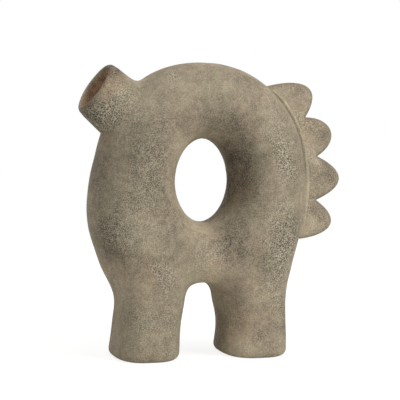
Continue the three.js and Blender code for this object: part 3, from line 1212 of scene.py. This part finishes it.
class NodeBench:
    """Lays out the nodes of one material."""

    def __init__(self, name: str) -> None:
        """Start an empty node material.

        Args:
            name: the material's name.
        """
        self.material = bpy.data.materials.new(name)
        self.material.use_nodes = True
        self.tree = self.material.node_tree
        self.tree.nodes.clear()

    def add(self, kind: str, **settings: object) -> Node:
        """Add a node and set its options.

        Args:
            kind: the node's type.
            settings: its options by name.

        Returns:
            The node.
        """
        node = self.tree.nodes.new(kind)
        for name, value in settings.items():
            setattr(node, name, value)
        return node

    def feed(self, socket: NodeSocket, source: Source) -> None:
        """Link a socket to a source, or set its value.

        Args:
            socket: the input.
            source: an output, or a constant.
        """
        if isinstance(source, NodeSocket):
            self.tree.links.new(source, socket)
        else:
            socket.default_value = source

    def math(self, operation: str, *sources: Source) -> NodeSocket:
        """Combine numbers.

        Args:
            operation: what is done with them.
            sources: outputs or constants, in the node's order.

        Returns:
            The result.
        """
        node = self.add("ShaderNodeMath", operation=operation)
        for socket, source in zip(node.inputs, sources):
            self.feed(socket, source)
        return node.outputs[0]

    def vector(self, operation: str, *sources: Source) -> NodeSocket:
        """Combine vectors, giving a vector or, for a distance, a number.

        Args:
            operation: what is done with them.
            sources: outputs or constants, in the node's order.

        Returns:
            The result.
        """
        node = self.add("ShaderNodeVectorMath", operation=operation)
        for socket, source in zip(node.inputs, sources):
            self.feed(socket, source)
        return node.outputs["Value" if operation in ("DISTANCE", "LENGTH", "DOT_PRODUCT") else "Vector"]

    def cloud(self, at: NodeSocket, cloud: Cloud) -> NodeSocket:
        """Give soft noise.

        Args:
            at: coordinates in metres.
            cloud: the noise's sizes.

        Returns:
            A number about 0.5.
        """
        node = self.add("ShaderNodeTexNoise", noise_dimensions="4D")
        self.feed(node.inputs["Vector"], at)
        self.feed(node.inputs["W"], cloud.shift)
        self.feed(node.inputs["Scale"], 1 / cloud.width)
        self.feed(node.inputs["Detail"], cloud.detail)
        return node.outputs["Fac"]

    def layer(self, at: NodeSocket, cloud: Cloud, start: float = 0.0, end: float = 1.0) -> NodeSocket:
        """Give soft noise eased from one value to another over the cloud's own range."""
        return self.rise(self.cloud(at, cloud), cloud.low, cloud.high, start, end)

    def rise(
        self, source: Source, low: float, high: float, start: float = 0.0, end: float = 1.0
    ) -> NodeSocket:
        """Ease from one value to another as a number passes from low to high.

        Args:
            source: the number.
            low: where the easing starts.
            high: where it ends.
            start: the value up to low.
            end: the value from high on.

        Returns:
            The eased value.
        """
        node = self.add("ShaderNodeMapRange", interpolation_type="SMOOTHSTEP")
        names = ("Value", "From Min", "From Max", "To Min", "To Max")
        for name, value in zip(names, (source, low, high, start, end)):
            self.feed(node.inputs[name], value)
        return node.outputs[0]

    def scaled(self, source: Source, scale: Source) -> NodeSocket:
        """Scale a vector or a colour by a number.

        Args:
            source: the vector or colour.
            scale: the number.

        Returns:
            The result.
        """
        result = self.vector("SCALE", source)
        self.feed(result.node.inputs["Scale"], scale)
        return result

    def blend(self, share: Source, first: Source, second: Source) -> NodeSocket:
        """Blend two colours.

        Args:
            share: how much of the second, from 0 to 1.
            first: a colour.
            second: a colour.

        Returns:
            The blended colour.
        """
        node = self.add("ShaderNodeMix", data_type="RGBA")
        self.feed(node.inputs["Factor"], share)
        self.feed(node.inputs[6], first)
        self.feed(node.inputs[7], second)
        return node.outputs[2]


@dataclass(frozen=True)
class Smudge:
    """A patch on the clay, in millimetres from the floor below the ring's middle, and its strength."""

    x: float
    y: float
    z: float
    radius: float
    strength: float

    @property
    def place(self) -> tuple[float, float, float]:
        """Give the patch's middle in the frame."""
        return (RING.middle_x + self.x * MM, self.y * MM, self.z * MM)


@dataclass(frozen=True)
class ClayFinish:
    """Unglazed fired clay: clouded earth colours, smoke drifts and a fine crackle of pale veins."""

    name: str
    sand: str = "A2957E"
    taupe: str = "918571"
    olive: str = "716C5B"
    blush: str = "9E8770"
    soot: str = "494335"
    vein: str = "E4D8BE"
    sands: Cloud = Cloud(46 * MM, 5.0, 5.0, 0.36, 0.64)
    warmth: Cloud = Cloud(59.8 * MM, 3.0, 7.0, 0.5, 0.7)
    greys: Cloud = Cloud(30 * MM, 4.0, 3.0, 0.42, 0.7)
    drifts: Cloud = Cloud(27 * MM, 4.0, 2.0, 0.5, 0.72)
    flecks: Cloud = Cloud(7 * MM, 3.0, 13.0)
    grains: Cloud = Cloud(0.9 * MM, 2.0, 9.0, 0.25, 0.75)
    warmth_share: float = 0.4
    grey_share: float = 0.45
    drift_share: float = 0.4
    patch_core: float = 0.1
    stray_width: float = 18 * MM
    stray: float = 20 * MM
    stray_detail: float = 3.0
    crackle_width: float = 2.1 * MM
    crackle_swirl: float = 1.2
    crackle_stray: float = 2.2
    vein_core: float = 0.01
    vein_edge: float = 0.15
    least_cell: float = 0.6
    calm_pale: float = 0.25
    calm_dark: float = 0.05
    drift_pale: float = 0.52
    drift_dark: float = 0.4
    drift_grey: float = 0.4
    grain_span: float = 0.185
    fleck_span: float = 0.17
    relief: float = 0.5 * MM
    relief_strength: float = 0.6
    vein_height: float = 0.15
    drift_height: float = 0.6
    grain_height: float = 0.4
    rough_low: float = 0.3
    rough_high: float = 0.7
    least_rough: float = 0.84
    most_rough: float = 0.97
    gloss: float = 0.25
    smudges: tuple[Smudge, ...] = ()
    blushes: tuple[Smudge, ...] = ()
    # Placed darker and paler places: the clay's own tone, with painted shade and painted light.
    tones_and_painted_light: tuple[Smudge, ...] = ()

    def material(self) -> Material:
        """Build the node material.

        Returns:
            The finished material.
        """
        bench = NodeBench(self.name)
        place = bench.add("ShaderNodeTexCoord").outputs["Object"]
        at = self._strayed(bench, place, self.stray_width, self.stray)
        drift = self._drift(bench, at)
        grain = bench.cloud(place, self.grains)
        vein, cell = self._crackle(bench, place)
        colour = self._earth(bench, place, at, drift)
        hollow = bench.math("MULTIPLY", bench.math("SUBTRACT", 1.0, vein), cell)
        dark = bench.math("MULTIPLY_ADD", drift, self.drift_dark, self.calm_dark)
        colour = bench.blend(bench.math("MULTIPLY", hollow, dark), colour, tint(self.soot))
        pale = bench.math("MULTIPLY_ADD", drift, self.drift_pale, self.calm_pale)
        colour = bench.blend(bench.math("MULTIPLY", vein, pale), colour, tint(self.vein))
        span = self.grain_span
        speck = bench.rise(grain, self.grains.low, self.grains.high, 1 - span, 1 + span)
        shaded = bench.scaled(colour, speck)
        height = bench.math("MULTIPLY_ADD", drift, self.drift_height, self.vein_height)
        height = bench.math("MULTIPLY_ADD", grain, self.grain_height, bench.math("MULTIPLY", vein, height))
        bump = bench.add("ShaderNodeBump")
        bench.feed(bump.inputs["Height"], height)
        bench.feed(bump.inputs["Distance"], self.relief)
        bench.feed(bump.inputs["Strength"], self.relief_strength)
        shader = bench.add("ShaderNodeBsdfPrincipled")
        bench.feed(shader.inputs["Base Color"], shaded)
        rough = bench.rise(grain, self.rough_low, self.rough_high, self.least_rough, self.most_rough)
        bench.feed(shader.inputs["Roughness"], rough)
        bench.feed(shader.inputs["Specular IOR Level"], self.gloss)
        bench.feed(shader.inputs["Normal"], bump.outputs[0])
        out = bench.add("ShaderNodeOutputMaterial")
        bench.feed(out.inputs["Surface"], shader.outputs[0])
        return bench.material

    def _strayed(self, bench: NodeBench, place: NodeSocket, width: float, amount: float) -> NodeSocket:
        """Push coordinates about, so that patches get ragged edges.

        Args:
            bench: the material's nodes.
            place: coordinates in metres.
            width: width of the push's swirls.
            amount: how far it goes.

        Returns:
            The pushed coordinates.
        """
        sway = bench.add("ShaderNodeTexNoise")
        bench.feed(sway.inputs["Vector"], place)
        bench.feed(sway.inputs["Scale"], 1 / width)
        bench.feed(sway.inputs["Detail"], self.stray_detail)
        push = bench.vector("SUBTRACT", sway.outputs["Color"], (0.5, 0.5, 0.5))
        return bench.vector("ADD", place, bench.scaled(push, amount))

    def _drift(self, bench: NodeBench, at: NodeSocket) -> NodeSocket:
        """Give where smoke and crackle are strong: in drifts, and at the placed smudges.

        Args:
            bench: the material's nodes.
            at: coordinates in metres, pushed about.

        Returns:
            The strength from 0 to 1.
        """
        total = bench.layer(at, self.drifts, 0.0, self.drift_share)
        for smudge in self.smudges:
            total = self._added(bench, at, smudge, total)
        return bench.math("MINIMUM", bench.math("MAXIMUM", total, 0.0), 1.0)

    def _added(self, bench: NodeBench, at: NodeSocket, smudge: Smudge, total: NodeSocket) -> NodeSocket:
        """Add one smudge to a running total.

        Args:
            bench: the material's nodes.
            at: coordinates in metres, pushed about.
            smudge: the smudge.
            total: the total so far.

        Returns:
            The new total.
        """
        apart = bench.vector("DISTANCE", at, smudge.place)
        radius = smudge.radius * MM
        share = bench.rise(apart, self.patch_core * radius, radius, smudge.strength, 0.0)
        return bench.math("ADD", total, share)

    def _earth(self, bench: NodeBench, place: NodeSocket, at: NodeSocket, drift: NodeSocket) -> NodeSocket:
        """Blend the earth colours, scaled by the placed tones, which also paint shade and light.

        Args:
            bench: the material's nodes.
            place: coordinates in metres.
            at: the same, pushed about.
            drift: strength of the smoke.

        Returns:
            The colour before the crackle.
        """
        colour = bench.blend(bench.layer(at, self.sands), tint(self.taupe), tint(self.sand))
        warm = bench.layer(at, self.warmth, 0.0, self.warmth_share)
        for blush in self.blushes:
            warm = self._added(bench, at, blush, warm)
        colour = bench.blend(bench.math("MINIMUM", warm, 1.0), colour, tint(self.blush))
        grey = bench.layer(at, self.greys, 0.0, self.grey_share)
        grey = bench.math("MINIMUM", bench.math("MULTIPLY_ADD", drift, self.drift_grey, grey), 1.0)
        colour = bench.blend(grey, colour, tint(self.olive))
        tone = bench.layer(at, self.flecks, 1 - self.fleck_span, 1 + self.fleck_span)
        # The placed tones scale the colour: the clay's own tone, painted shade and painted light.
        for patch in self.tones_and_painted_light:
            tone = self._added(bench, at, patch, tone)
        return bench.scaled(colour, tone)

    def _crackle(self, bench: NodeBench, place: NodeSocket) -> tuple[NodeSocket, NodeSocket]:
        """Make the fine net.

        Args:
            bench: the material's nodes.
            place: coordinates in metres.

        Returns:
            The pale veins from 0 to 1, and how dark each grain between them is.
        """
        width = self.crackle_width
        at = self._strayed(bench, place, self.crackle_swirl * width, self.crackle_stray * width)
        edges = bench.add("ShaderNodeTexVoronoi", feature="DISTANCE_TO_EDGE")
        grains = bench.add("ShaderNodeTexVoronoi", feature="F1")
        for node in (edges, grains):
            bench.feed(node.inputs["Vector"], at)
            bench.feed(node.inputs["Scale"], 1 / width)
        vein = bench.rise(edges.outputs["Distance"], self.vein_core, self.vein_edge, 1.0, 0.0)
        tone = bench.add("ShaderNodeSeparateColor")
        bench.feed(tone.inputs[0], grains.outputs["Color"])
        return vein, bench.rise(tone.outputs[0], 0.0, 1.0, self.least_cell, 1.0)


@dataclass(frozen=True)
class CombFinish(ClayFinish):
    """Clay of the comb: warm sand, with painted shade in a browner colour towards its rounded rim."""

    # Painted shade: the browner colour of the rounded rim, where the slab turns away.
    rim_shade: str = "75664F"
    rim_shade_share: float = 0.75
    rim_shade_start: float = 12.6 * MM
    rim_shade_end: float = 6.5 * MM
    rags: Cloud = Cloud(6 * MM, 3.0, 4.0)
    rag: float = 3 * MM

    def _earth(self, bench: NodeBench, place: NodeSocket, at: NodeSocket, drift: NodeSocket) -> NodeSocket:
        """Blend the earth colours, with painted shade in a browner colour where the slab grows thin at its
        rim.

        Args:
            bench: the material's nodes.
            place: coordinates in metres.
            at: the same, pushed about.
            drift: strength of the smoke.

        Returns:
            The colour before the crackle.
        """
        colour = super()._earth(bench, place, at, drift)
        axes = bench.add("ShaderNodeSeparateXYZ")
        bench.feed(axes.inputs[0], place)
        depth = bench.math("ABSOLUTE", axes.outputs[1])
        ragged = bench.math("MULTIPLY_ADD", bench.cloud(place, self.rags), self.rag, depth)
        # Painted shade: browner where the slab's rounded rim grows thin.
        share = bench.rise(ragged, self.rim_shade_end, self.rim_shade_start, self.rim_shade_share, 0.0)
        return bench.blend(share, colour, tint(self.rim_shade))


@dataclass(frozen=True)
class BeadFinish(ClayFinish):
    """Clay of the bead along the comb's root: pale, with painted shade in the crease where it meets the
    ring.
    """

    # Painted shade: the colour of the crease between the bead and the ring.
    crease: str = "665946"
    crease_shade_share: float = 0.4
    crease_shade_end: float = 0.2 * MM
    crease_shade_fade: float = 0.9 * MM

    def _earth(self, bench: NodeBench, place: NodeSocket, at: NodeSocket, drift: NodeSocket) -> NodeSocket:
        """Blend the earth colours, with painted shade in the crease low down beside the ring.

        Args:
            bench: the material's nodes.
            place: coordinates in metres.
            at: the same, pushed about.
            drift: strength of the smoke.

        Returns:
            The colour before the crackle.
        """
        colour = super()._earth(bench, place, at, drift)
        apart = bench.vector("SUBTRACT", place, (RING.middle_x, 0.0, RING.height))
        flat = bench.vector("MULTIPLY", apart, (1.0, 0.0, 1.0))
        above = bench.math("SUBTRACT", bench.vector("LENGTH", flat), RING.half_width)
        # Painted shade: darker where the bead lies low against the ring.
        share = bench.rise(above, self.crease_shade_end, self.crease_shade_fade, self.crease_shade_share, 0.0)
        return bench.blend(share, colour, tint(self.crease))


@dataclass(frozen=True)
class MouthFinish(ClayFinish):
    """Clay of the neck: like the body outside; inside the mouth burnt orange with brown scorches, and
    painted shade that browns it deeper down.
    """

    inside: str = "DBA983"
    # The brown of the scorches, and the painted shade deep in the mouth.
    inside_scorch_and_shade: str = "553B2B"
    neck: Neck = field(default_factory=Neck)
    burn_start: float = 1.4 * MM
    burn_full: float = 6.5 * MM
    depth_shade_full: float = 18 * MM
    rags: Cloud = Cloud(5 * MM, 3.0, 4.0)
    rag: float = 1.6 * MM
    scorches: Cloud = Cloud(9 * MM, 3.0, 6.0, 0.4, 0.65)
    scorch_share: float = 0.6
    edge_start: float = 0.6 * MM
    edge_end: float = 1.4 * MM

    def _earth(self, bench: NodeBench, place: NodeSocket, at: NodeSocket, drift: NodeSocket) -> NodeSocket:
        """Blend the earth colours outside, and inside the mouth the burnt ones, darkened deeper down with
        painted shade.

        Args:
            bench: the material's nodes.
            place: coordinates in metres.
            at: the same, pushed about.
            drift: strength of the smoke.

        Returns:
            The colour before the crackle.
        """
        outside = super()._earth(bench, place, at, drift)
        neck = self.neck
        taper = (neck.mouth_radius - neck.root_radius) / neck.length
        apart = bench.vector("SUBTRACT", place, neck.centre)
        along = bench.vector("DOT_PRODUCT", apart, neck.axis)
        past_seat = bench.math("SUBTRACT", along, neck.seat)
        sag = bench.math("MULTIPLY_ADD", past_seat, neck.root_sag / neck.length, -neck.root_sag)
        across = bench.vector("SUBTRACT", apart, bench.scaled(neck.axis, along))
        across = bench.vector("SUBTRACT", across, bench.scaled(neck.upper, sag))
        radius = bench.vector("LENGTH", across)
        wall = bench.math("MULTIPLY_ADD", past_seat, taper, neck.root_radius - neck.wall)
        past_wall = bench.math("SUBTRACT", radius, wall)
        inner = bench.rise(past_wall, self.edge_start, self.edge_end, 1.0, 0.0)
        below = bench.vector("SUBTRACT", neck.mouth_centre, place)
        depth = bench.vector("DOT_PRODUCT", below, neck.mouth_axis)
        ragged = bench.math("MULTIPLY_ADD", bench.cloud(place, self.rags), self.rag, depth)
        within = bench.math("MULTIPLY", inner, bench.rise(ragged, self.burn_start, self.burn_full))
        scorch = bench.layer(place, self.scorches, 0.0, self.scorch_share)
        # Painted shade: the inside darkens deeper in the mouth, and also in the scorches.
        scorch_and_depth_shade = bench.math("MAXIMUM", scorch, bench.rise(depth, self.burn_full, self.depth_shade_full))
        return bench.blend(within, outside, bench.blend(scorch_and_depth_shade, tint(self.inside), tint(self.inside_scorch_and_shade)))


def patches(*rows: tuple[float, float, float, float, float]) -> tuple[Smudge, ...]:
    """Make smudges from rows of x, y, z and radius in millimetres, and strength."""
    return tuple(Smudge(*row) for row in rows)


# Where smoke and crackle are strong on the body, and where they stay away (below 0).
BODY_SMUDGES = patches(
    (-58, -49, 201, 26, 0.35), (-68, -49, 179, 26, 0.35), (-77, -46, 153, 30, 0.4),
    (-97, -38, 126, 28, 0.5), (-47, -47, 84, 20, 0.6), (-62, -48, 124, 26, 0.3),
    (-79, -34, 242, 20, 0.7), (-36, -31, 278, 13, 0.5), (60, -49, 226, 24, 0.4),
    (68, -49, 205, 26, 0.8), (77, -48, 187, 22, 0.7), (73, -46, 144, 26, 0.4),
    (74, -45, 118, 30, 0.8), (74, -44, 94, 28, 0.7), (71, -41, 66, 28, 0.4),
    (4, -48, 110, 20, 0.5), (-81, -29, 48, 20, 0.3), (-68, -46, 40, 34, 0.25),
    (78, -36, 46, 26, 0.4), (-6, -46, 92, 26, 0.35), (34, -27, 190, 44, -0.9),
    (43, -39, 195, 26, -0.6), (25, -47, 119, 22, -0.6), (36, -29, 165, 40, -0.7),
    (28, -44, 128, 36, -0.5), (3, -46, 268, 48, -0.5), (40, -43, 262, 40, -0.5),
    (-97, -34, 104, 24, -0.3), (-113, 2, 161, 30, -0.4), (62, 49, 205, 30, 0.7),
    (-68, 48, 176, 34, 0.6), (75, 45, 112, 34, 0.7), (-92, 40, 122, 30, 0.6),
    (-46, 47, 84, 24, 0.6), (-34, 42, 266, 26, 0.35), (34, 46, 44, 26, 0.5),
)
# Warmer places on the body.
BODY_BLUSHES = patches(
    (-34, -30, 180, 18, 0.6), (-97, -20, 220, 14, 0.7), (-60, -47, 85, 18, 0.5),
    (30, -40, 29, 28, 0.5), (31, -9, 179, 46, 0.9),
)
# Darker (below 0) and paler places on the body: partly the clay's own tone, partly painted shade, as in the
# hole's right wall and on the left flank, and painted light from the floor, under the arch and at the feet.
BODY_TONES_AND_PAINTED_LIGHT = patches(
    (33, -18, 182, 42, -0.64), (22, -10, 204, 28, -0.36), (28, 6, 158, 34, -0.46),
    (34, -39, 216, 38, -0.32), (2, -45, 236, 38, -0.26), (50, -44, 162, 28, -0.2),
    (22, -46, 116, 32, -0.54), (64, -46, 94, 32, -0.28), (84, -40, 121, 34, -0.42),
    (-97, -37, 117, 36, -0.54), (-97, -38, 143, 28, -0.31), (-62, -49, 190, 36, -0.34),
    (-53, -47, 157, 30, -0.42), (-61, -48, 220, 32, -0.2), (-37, -47, 130, 22, -0.22),
    (-32, -47, 97, 20, -0.24), (-60, -47, 96, 28, -0.16), (-62, -48, 12, 28, -0.22),
    (-83, -29, 35, 24, -0.24), (46, -47, 16, 28, -0.24), (-38, -46, 229, 20, -0.2),
    (46, -35, 270, 28, -0.24), (-40, -10, 283, 32, -0.18), (72, -43, 235, 26, -0.31),
    (-106, -16, 189, 36, -0.41), (-74, -46, 135, 38, 0.44), (-30, -33, 202, 28, 0.52),
    (-11, -22, 136, 33, 0.72), (-37, -42, 215, 22, 0.25), (-12, -42, 86, 36, 0.8),
    (-75, -34, 249, 22, 0.45), (14, 0, 61, 27, 0.46), (21, -8, 24, 30, -0.4),
    (-73, -44, 28, 27, 0.36), (30, -39, 8, 32, 0.66), (-106, -14, 113, 28, -0.28),
    (91, -38, 190, 44, -0.18), (92, -38, 137, 26, -0.16), (83, -26, 33, 32, -0.34),
    (65, -48, 173, 30, 0.23), (55, -49, 225, 30, 0.26), (14, -49, 257, 30, 0.32),
    (-34, -40, 268, 40, 0.3), (72, 46, 118, 38, -0.3), (-92, 40, 118, 36, -0.35),
    (-60, 48, 192, 36, -0.25), (33, 22, 180, 36, -0.3),
)
# The same for the comb: painted pillow shading, paler near the root and darker out on the lobes, with the
# clay's own tone.
COMB_TONES_AND_PAINTED_LIGHT = patches(
    (107, -11, 199, 30, 0.7), (79, -10, 263, 22, 0.2), (97, -13, 230, 26, 0.36),
    (111, -10, 119, 24, 0.6), (133, -10, 183, 20, -0.42), (129, -10, 143, 19, -0.38),
    (98, -9, 268, 20, -0.22), (130, -10, 219, 16, -0.2),
)
# The same for the neck: painted shade on its lip and its lower side, and painted light on the far side of
# its mouth.
NECK_TONES_AND_PAINTED_LIGHT = patches(
    (-111, -14, 239, 32, -0.64), (-110, -23, 255, 17, 0.3), (-107, 27, 265, 34, 0.7),
    (-94, -10, 284, 26, -0.68),
)
# Smoke and crackle on the neck.
NECK_SMUDGES = patches(
    (-100, -24, 237, 28, 1.0), (-96, -27, 247, 20, 0.7), (-108, -25, 258, 16, -0.6),
    (-100, 24, 238, 26, 0.7),
)
# Warmer places beside the neck's lip.
NECK_BLUSHES = patches(
    (-92, -20, 279, 24, 0.8), (-103, -27, 266, 20, 0.7),
)
# Crackle near the comb's root.
COMB_SMUDGES = patches(
    (106, -11, 229, 20, 0.6), (104, -11, 190, 22, 0.5), (106, -11, 150, 22, 0.4),
)


@dataclass(frozen=True)
class Lamp:
    """A soft square lamp: its place from the camera's target, its side and its power in watts."""

    name: str
    place: tuple[float, float, float]
    size: float
    power: float


@dataclass
class Studio:
    """The pale floor, the white surround, the soft lamps and the camera."""

    target: tuple[float, float, float] = (RING.middle_x, 0.0, 154.58 * MM)
    azimuth: float = -15.4
    elevation: float = 3.49
    distance: float = 1.5
    lens: float = 135.0
    sensor: float = 36.0
    floor_half: float = 1.2
    floor_glow: float = 0.84
    floor_tint: str = "F0EFEC"
    floor_shown: str = "969592"
    ambient: float = 0.277
    lamps: tuple[Lamp, ...] = (
        Lamp("key", (1.25, -1.3, 1.1), 1.1, 25.0),
        Lamp("top", (0.0, -0.3, 1.9), 1.6, 12.8),
        Lamp("fill", (-1.6, -1.3, 0.7), 1.4, 2.5),
        Lamp("rear", (0.0, 1.9, 0.6), 1.4, 9.0),
    )

    def build(self) -> None:
        """Make everything round the vessel."""
        self._surround()
        self._floor()
        for lamp in self.lamps:
            self._light(lamp)
        self._camera()

    def _seen(self, tree: bpy.types.NodeTree) -> NodeSocket:
        """Tell the rays that see the background from those that only carry light.

        Args:
            tree: the nodes that ask.

        Returns:
            1 for rays that see it, 0 for the others.
        """
        path = tree.nodes.new("ShaderNodeLightPath")
        total = path.outputs["Is Camera Ray"]
        for name in ("Is Glossy Ray", "Is Transmission Ray"):
            node = tree.nodes.new("ShaderNodeMath")
            node.operation = "MAXIMUM"
            tree.links.new(total, node.inputs[0])
            tree.links.new(path.outputs[name], node.inputs[1])
            total = node.outputs[0]
        return total

    def _surround(self) -> None:
        """Make the world: white to look at, a soft even light on the vessel."""
        world = bpy.data.worlds.new("surround")
        world.use_nodes = True
        bpy.context.scene.world = world
        tree = world.node_tree
        tree.nodes.clear()
        strength = tree.nodes.new("ShaderNodeMapRange")
        tree.links.new(self._seen(tree), strength.inputs["Value"])
        strength.inputs["To Min"].default_value = self.ambient
        strength.inputs["To Max"].default_value = 1.0
        back = tree.nodes.new("ShaderNodeBackground")
        back.inputs["Color"].default_value = (1.0, 1.0, 1.0, 1.0)
        tree.links.new(strength.outputs[0], back.inputs["Strength"])
        out = tree.nodes.new("ShaderNodeOutputWorld")
        tree.links.new(back.outputs[0], out.inputs["Surface"])

    def _floor(self) -> None:
        """Make the floor, which fades into the surround and keeps a soft shadow."""
        half = self.floor_half
        points = np.array([(-half, -half, 0), (half, -half, 0), (half, half, 0), (-half, half, 0)])
        floor = new_piece("floor", points, [(0, 1, 2, 3)])
        bench = NodeBench("pale_floor")
        matte = bench.add("ShaderNodeBsdfDiffuse")
        matte.inputs["Color"].default_value = tint(self.floor_tint)
        shown = bench.add("ShaderNodeBsdfDiffuse")
        shown.inputs["Color"].default_value = tint(self.floor_shown)
        glow = bench.add("ShaderNodeEmission")
        glow.inputs["Strength"].default_value = self.floor_glow
        lit = bench.add("ShaderNodeAddShader")
        bench.feed(lit.inputs[0], shown.outputs[0])
        bench.feed(lit.inputs[1], glow.outputs[0])
        mix = bench.add("ShaderNodeMixShader")
        bench.feed(mix.inputs[0], self._seen(bench.tree))
        bench.feed(mix.inputs[1], matte.outputs[0])
        bench.feed(mix.inputs[2], lit.outputs[0])
        out = bench.add("ShaderNodeOutputMaterial")
        bench.feed(out.inputs["Surface"], mix.outputs[0])
        floor.data.materials.append(bench.material)

    def _placed(self, name: str, device: bpy.types.ID, away: Vector) -> Object:
        """Set a lamp or camera away from the target, facing it.

        Args:
            name: the object's name.
            device: the lamp or camera.
            away: its place from the target.

        Returns:
            The object that holds it.
        """
        holder = bpy.data.objects.new(name, device)
        holder.location = Vector(self.target) + away
        holder.rotation_euler = (-away).to_track_quat("-Z", "Y").to_euler()
        bpy.context.scene.collection.objects.link(holder)
        return holder

    def _light(self, lamp: Lamp) -> None:
        """Make a lamp that faces the vessel.

        Args:
            lamp: what it is like.
        """
        light = bpy.data.lights.new(lamp.name, "AREA")
        light.size = lamp.size
        light.energy = lamp.power
        self._placed(lamp.name, light, Vector(lamp.place))

    def _camera(self) -> None:
        """Set the camera at the photograph's angle."""
        turn = math.radians(self.azimuth)
        lift = math.radians(self.elevation)
        back = Vector((
            math.sin(turn) * math.cos(lift),
            -math.cos(turn) * math.cos(lift),
            math.sin(lift),
        ))
        camera = bpy.data.cameras.new("camera")
        camera.lens = self.lens
        camera.sensor_width = self.sensor
        bpy.context.scene.camera = self._placed("camera", camera, self.distance * back)


def dress(piece: Object, node: str, finish: Material) -> None:
    """Give a piece its finish and tie it to the frame.

    Args:
        piece: the finished mesh.
        node: the node that it stands for.
        finish: its material.
    """
    mesh: Mesh = piece.data
    mesh.materials.clear()
    mesh.materials.append(finish)
    mesh.polygons.foreach_set("material_index", [0] * len(mesh.polygons))
    mesh.shade_smooth()
    mesh.set_sharp_from_angle(angle=SHARP_EDGE)
    piece.name = f"{node}_clay"
    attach(piece, "root")
    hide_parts(node)
    LOG.info("%s: %d faces", piece.name, len(mesh.polygons))


def main() -> None:
    """Build the vessel's pieces, dress them and set the scene."""
    logging.basicConfig(level=logging.INFO, format="%(message)s")
    bpy.context.scene.view_settings.view_transform = "Standard"
    body = Body()
    neck = Neck()
    comb = Comb()
    surface = body.surface()
    bore = neck.bore()
    body_clay = ClayFinish(
        "body_clay", smudges=BODY_SMUDGES, blushes=BODY_BLUSHES, tones_and_painted_light=BODY_TONES_AND_PAINTED_LIGHT,
    ).material()
    neck_clay = MouthFinish(
        "neck_clay", neck=neck, calm_pale=0.31, calm_dark=0.1, grain_span=0.21,
        smudges=NECK_SMUDGES, blushes=NECK_BLUSHES, tones_and_painted_light=NECK_TONES_AND_PAINTED_LIGHT,
    ).material()
    comb_clay = CombFinish(
        "comb_clay", sand="A79984", taupe="968873", olive="7E7463", blush="A38B74",
        calm_pale=0.3, calm_dark=0.12, grain_span=0.22, smudges=COMB_SMUDGES, tones_and_painted_light=COMB_TONES_AND_PAINTED_LIGHT,
    ).material()
    bead_clay = BeadFinish("bead_clay", sand="B8AA92", taupe="AA9C86", olive="948A78").material()
    for node, piece in body.pieces(bore).items():
        dress(piece, node, body_clay)
    dress(neck.tube(body), "neck", neck_clay)
    dress(neck.coil(surface), "neck_coil", neck_clay)
    slab = joined(comb.slab(), body.solid, Join.CUT)
    for number, lobe in enumerate(comb.lobe_pieces(slab), 1):
        dress(lobe, f"comb_lobe_{number}", comb_clay)
    for side, node in ((-1, "comb_coil_front"), (1, "comb_coil_back")):
        dress(comb.root_bead(body, slab, surface, side), node, bead_clay)
    discard(bore, slab, body.solid)
    Studio().build()


if __name__ == "__main__":
    main()
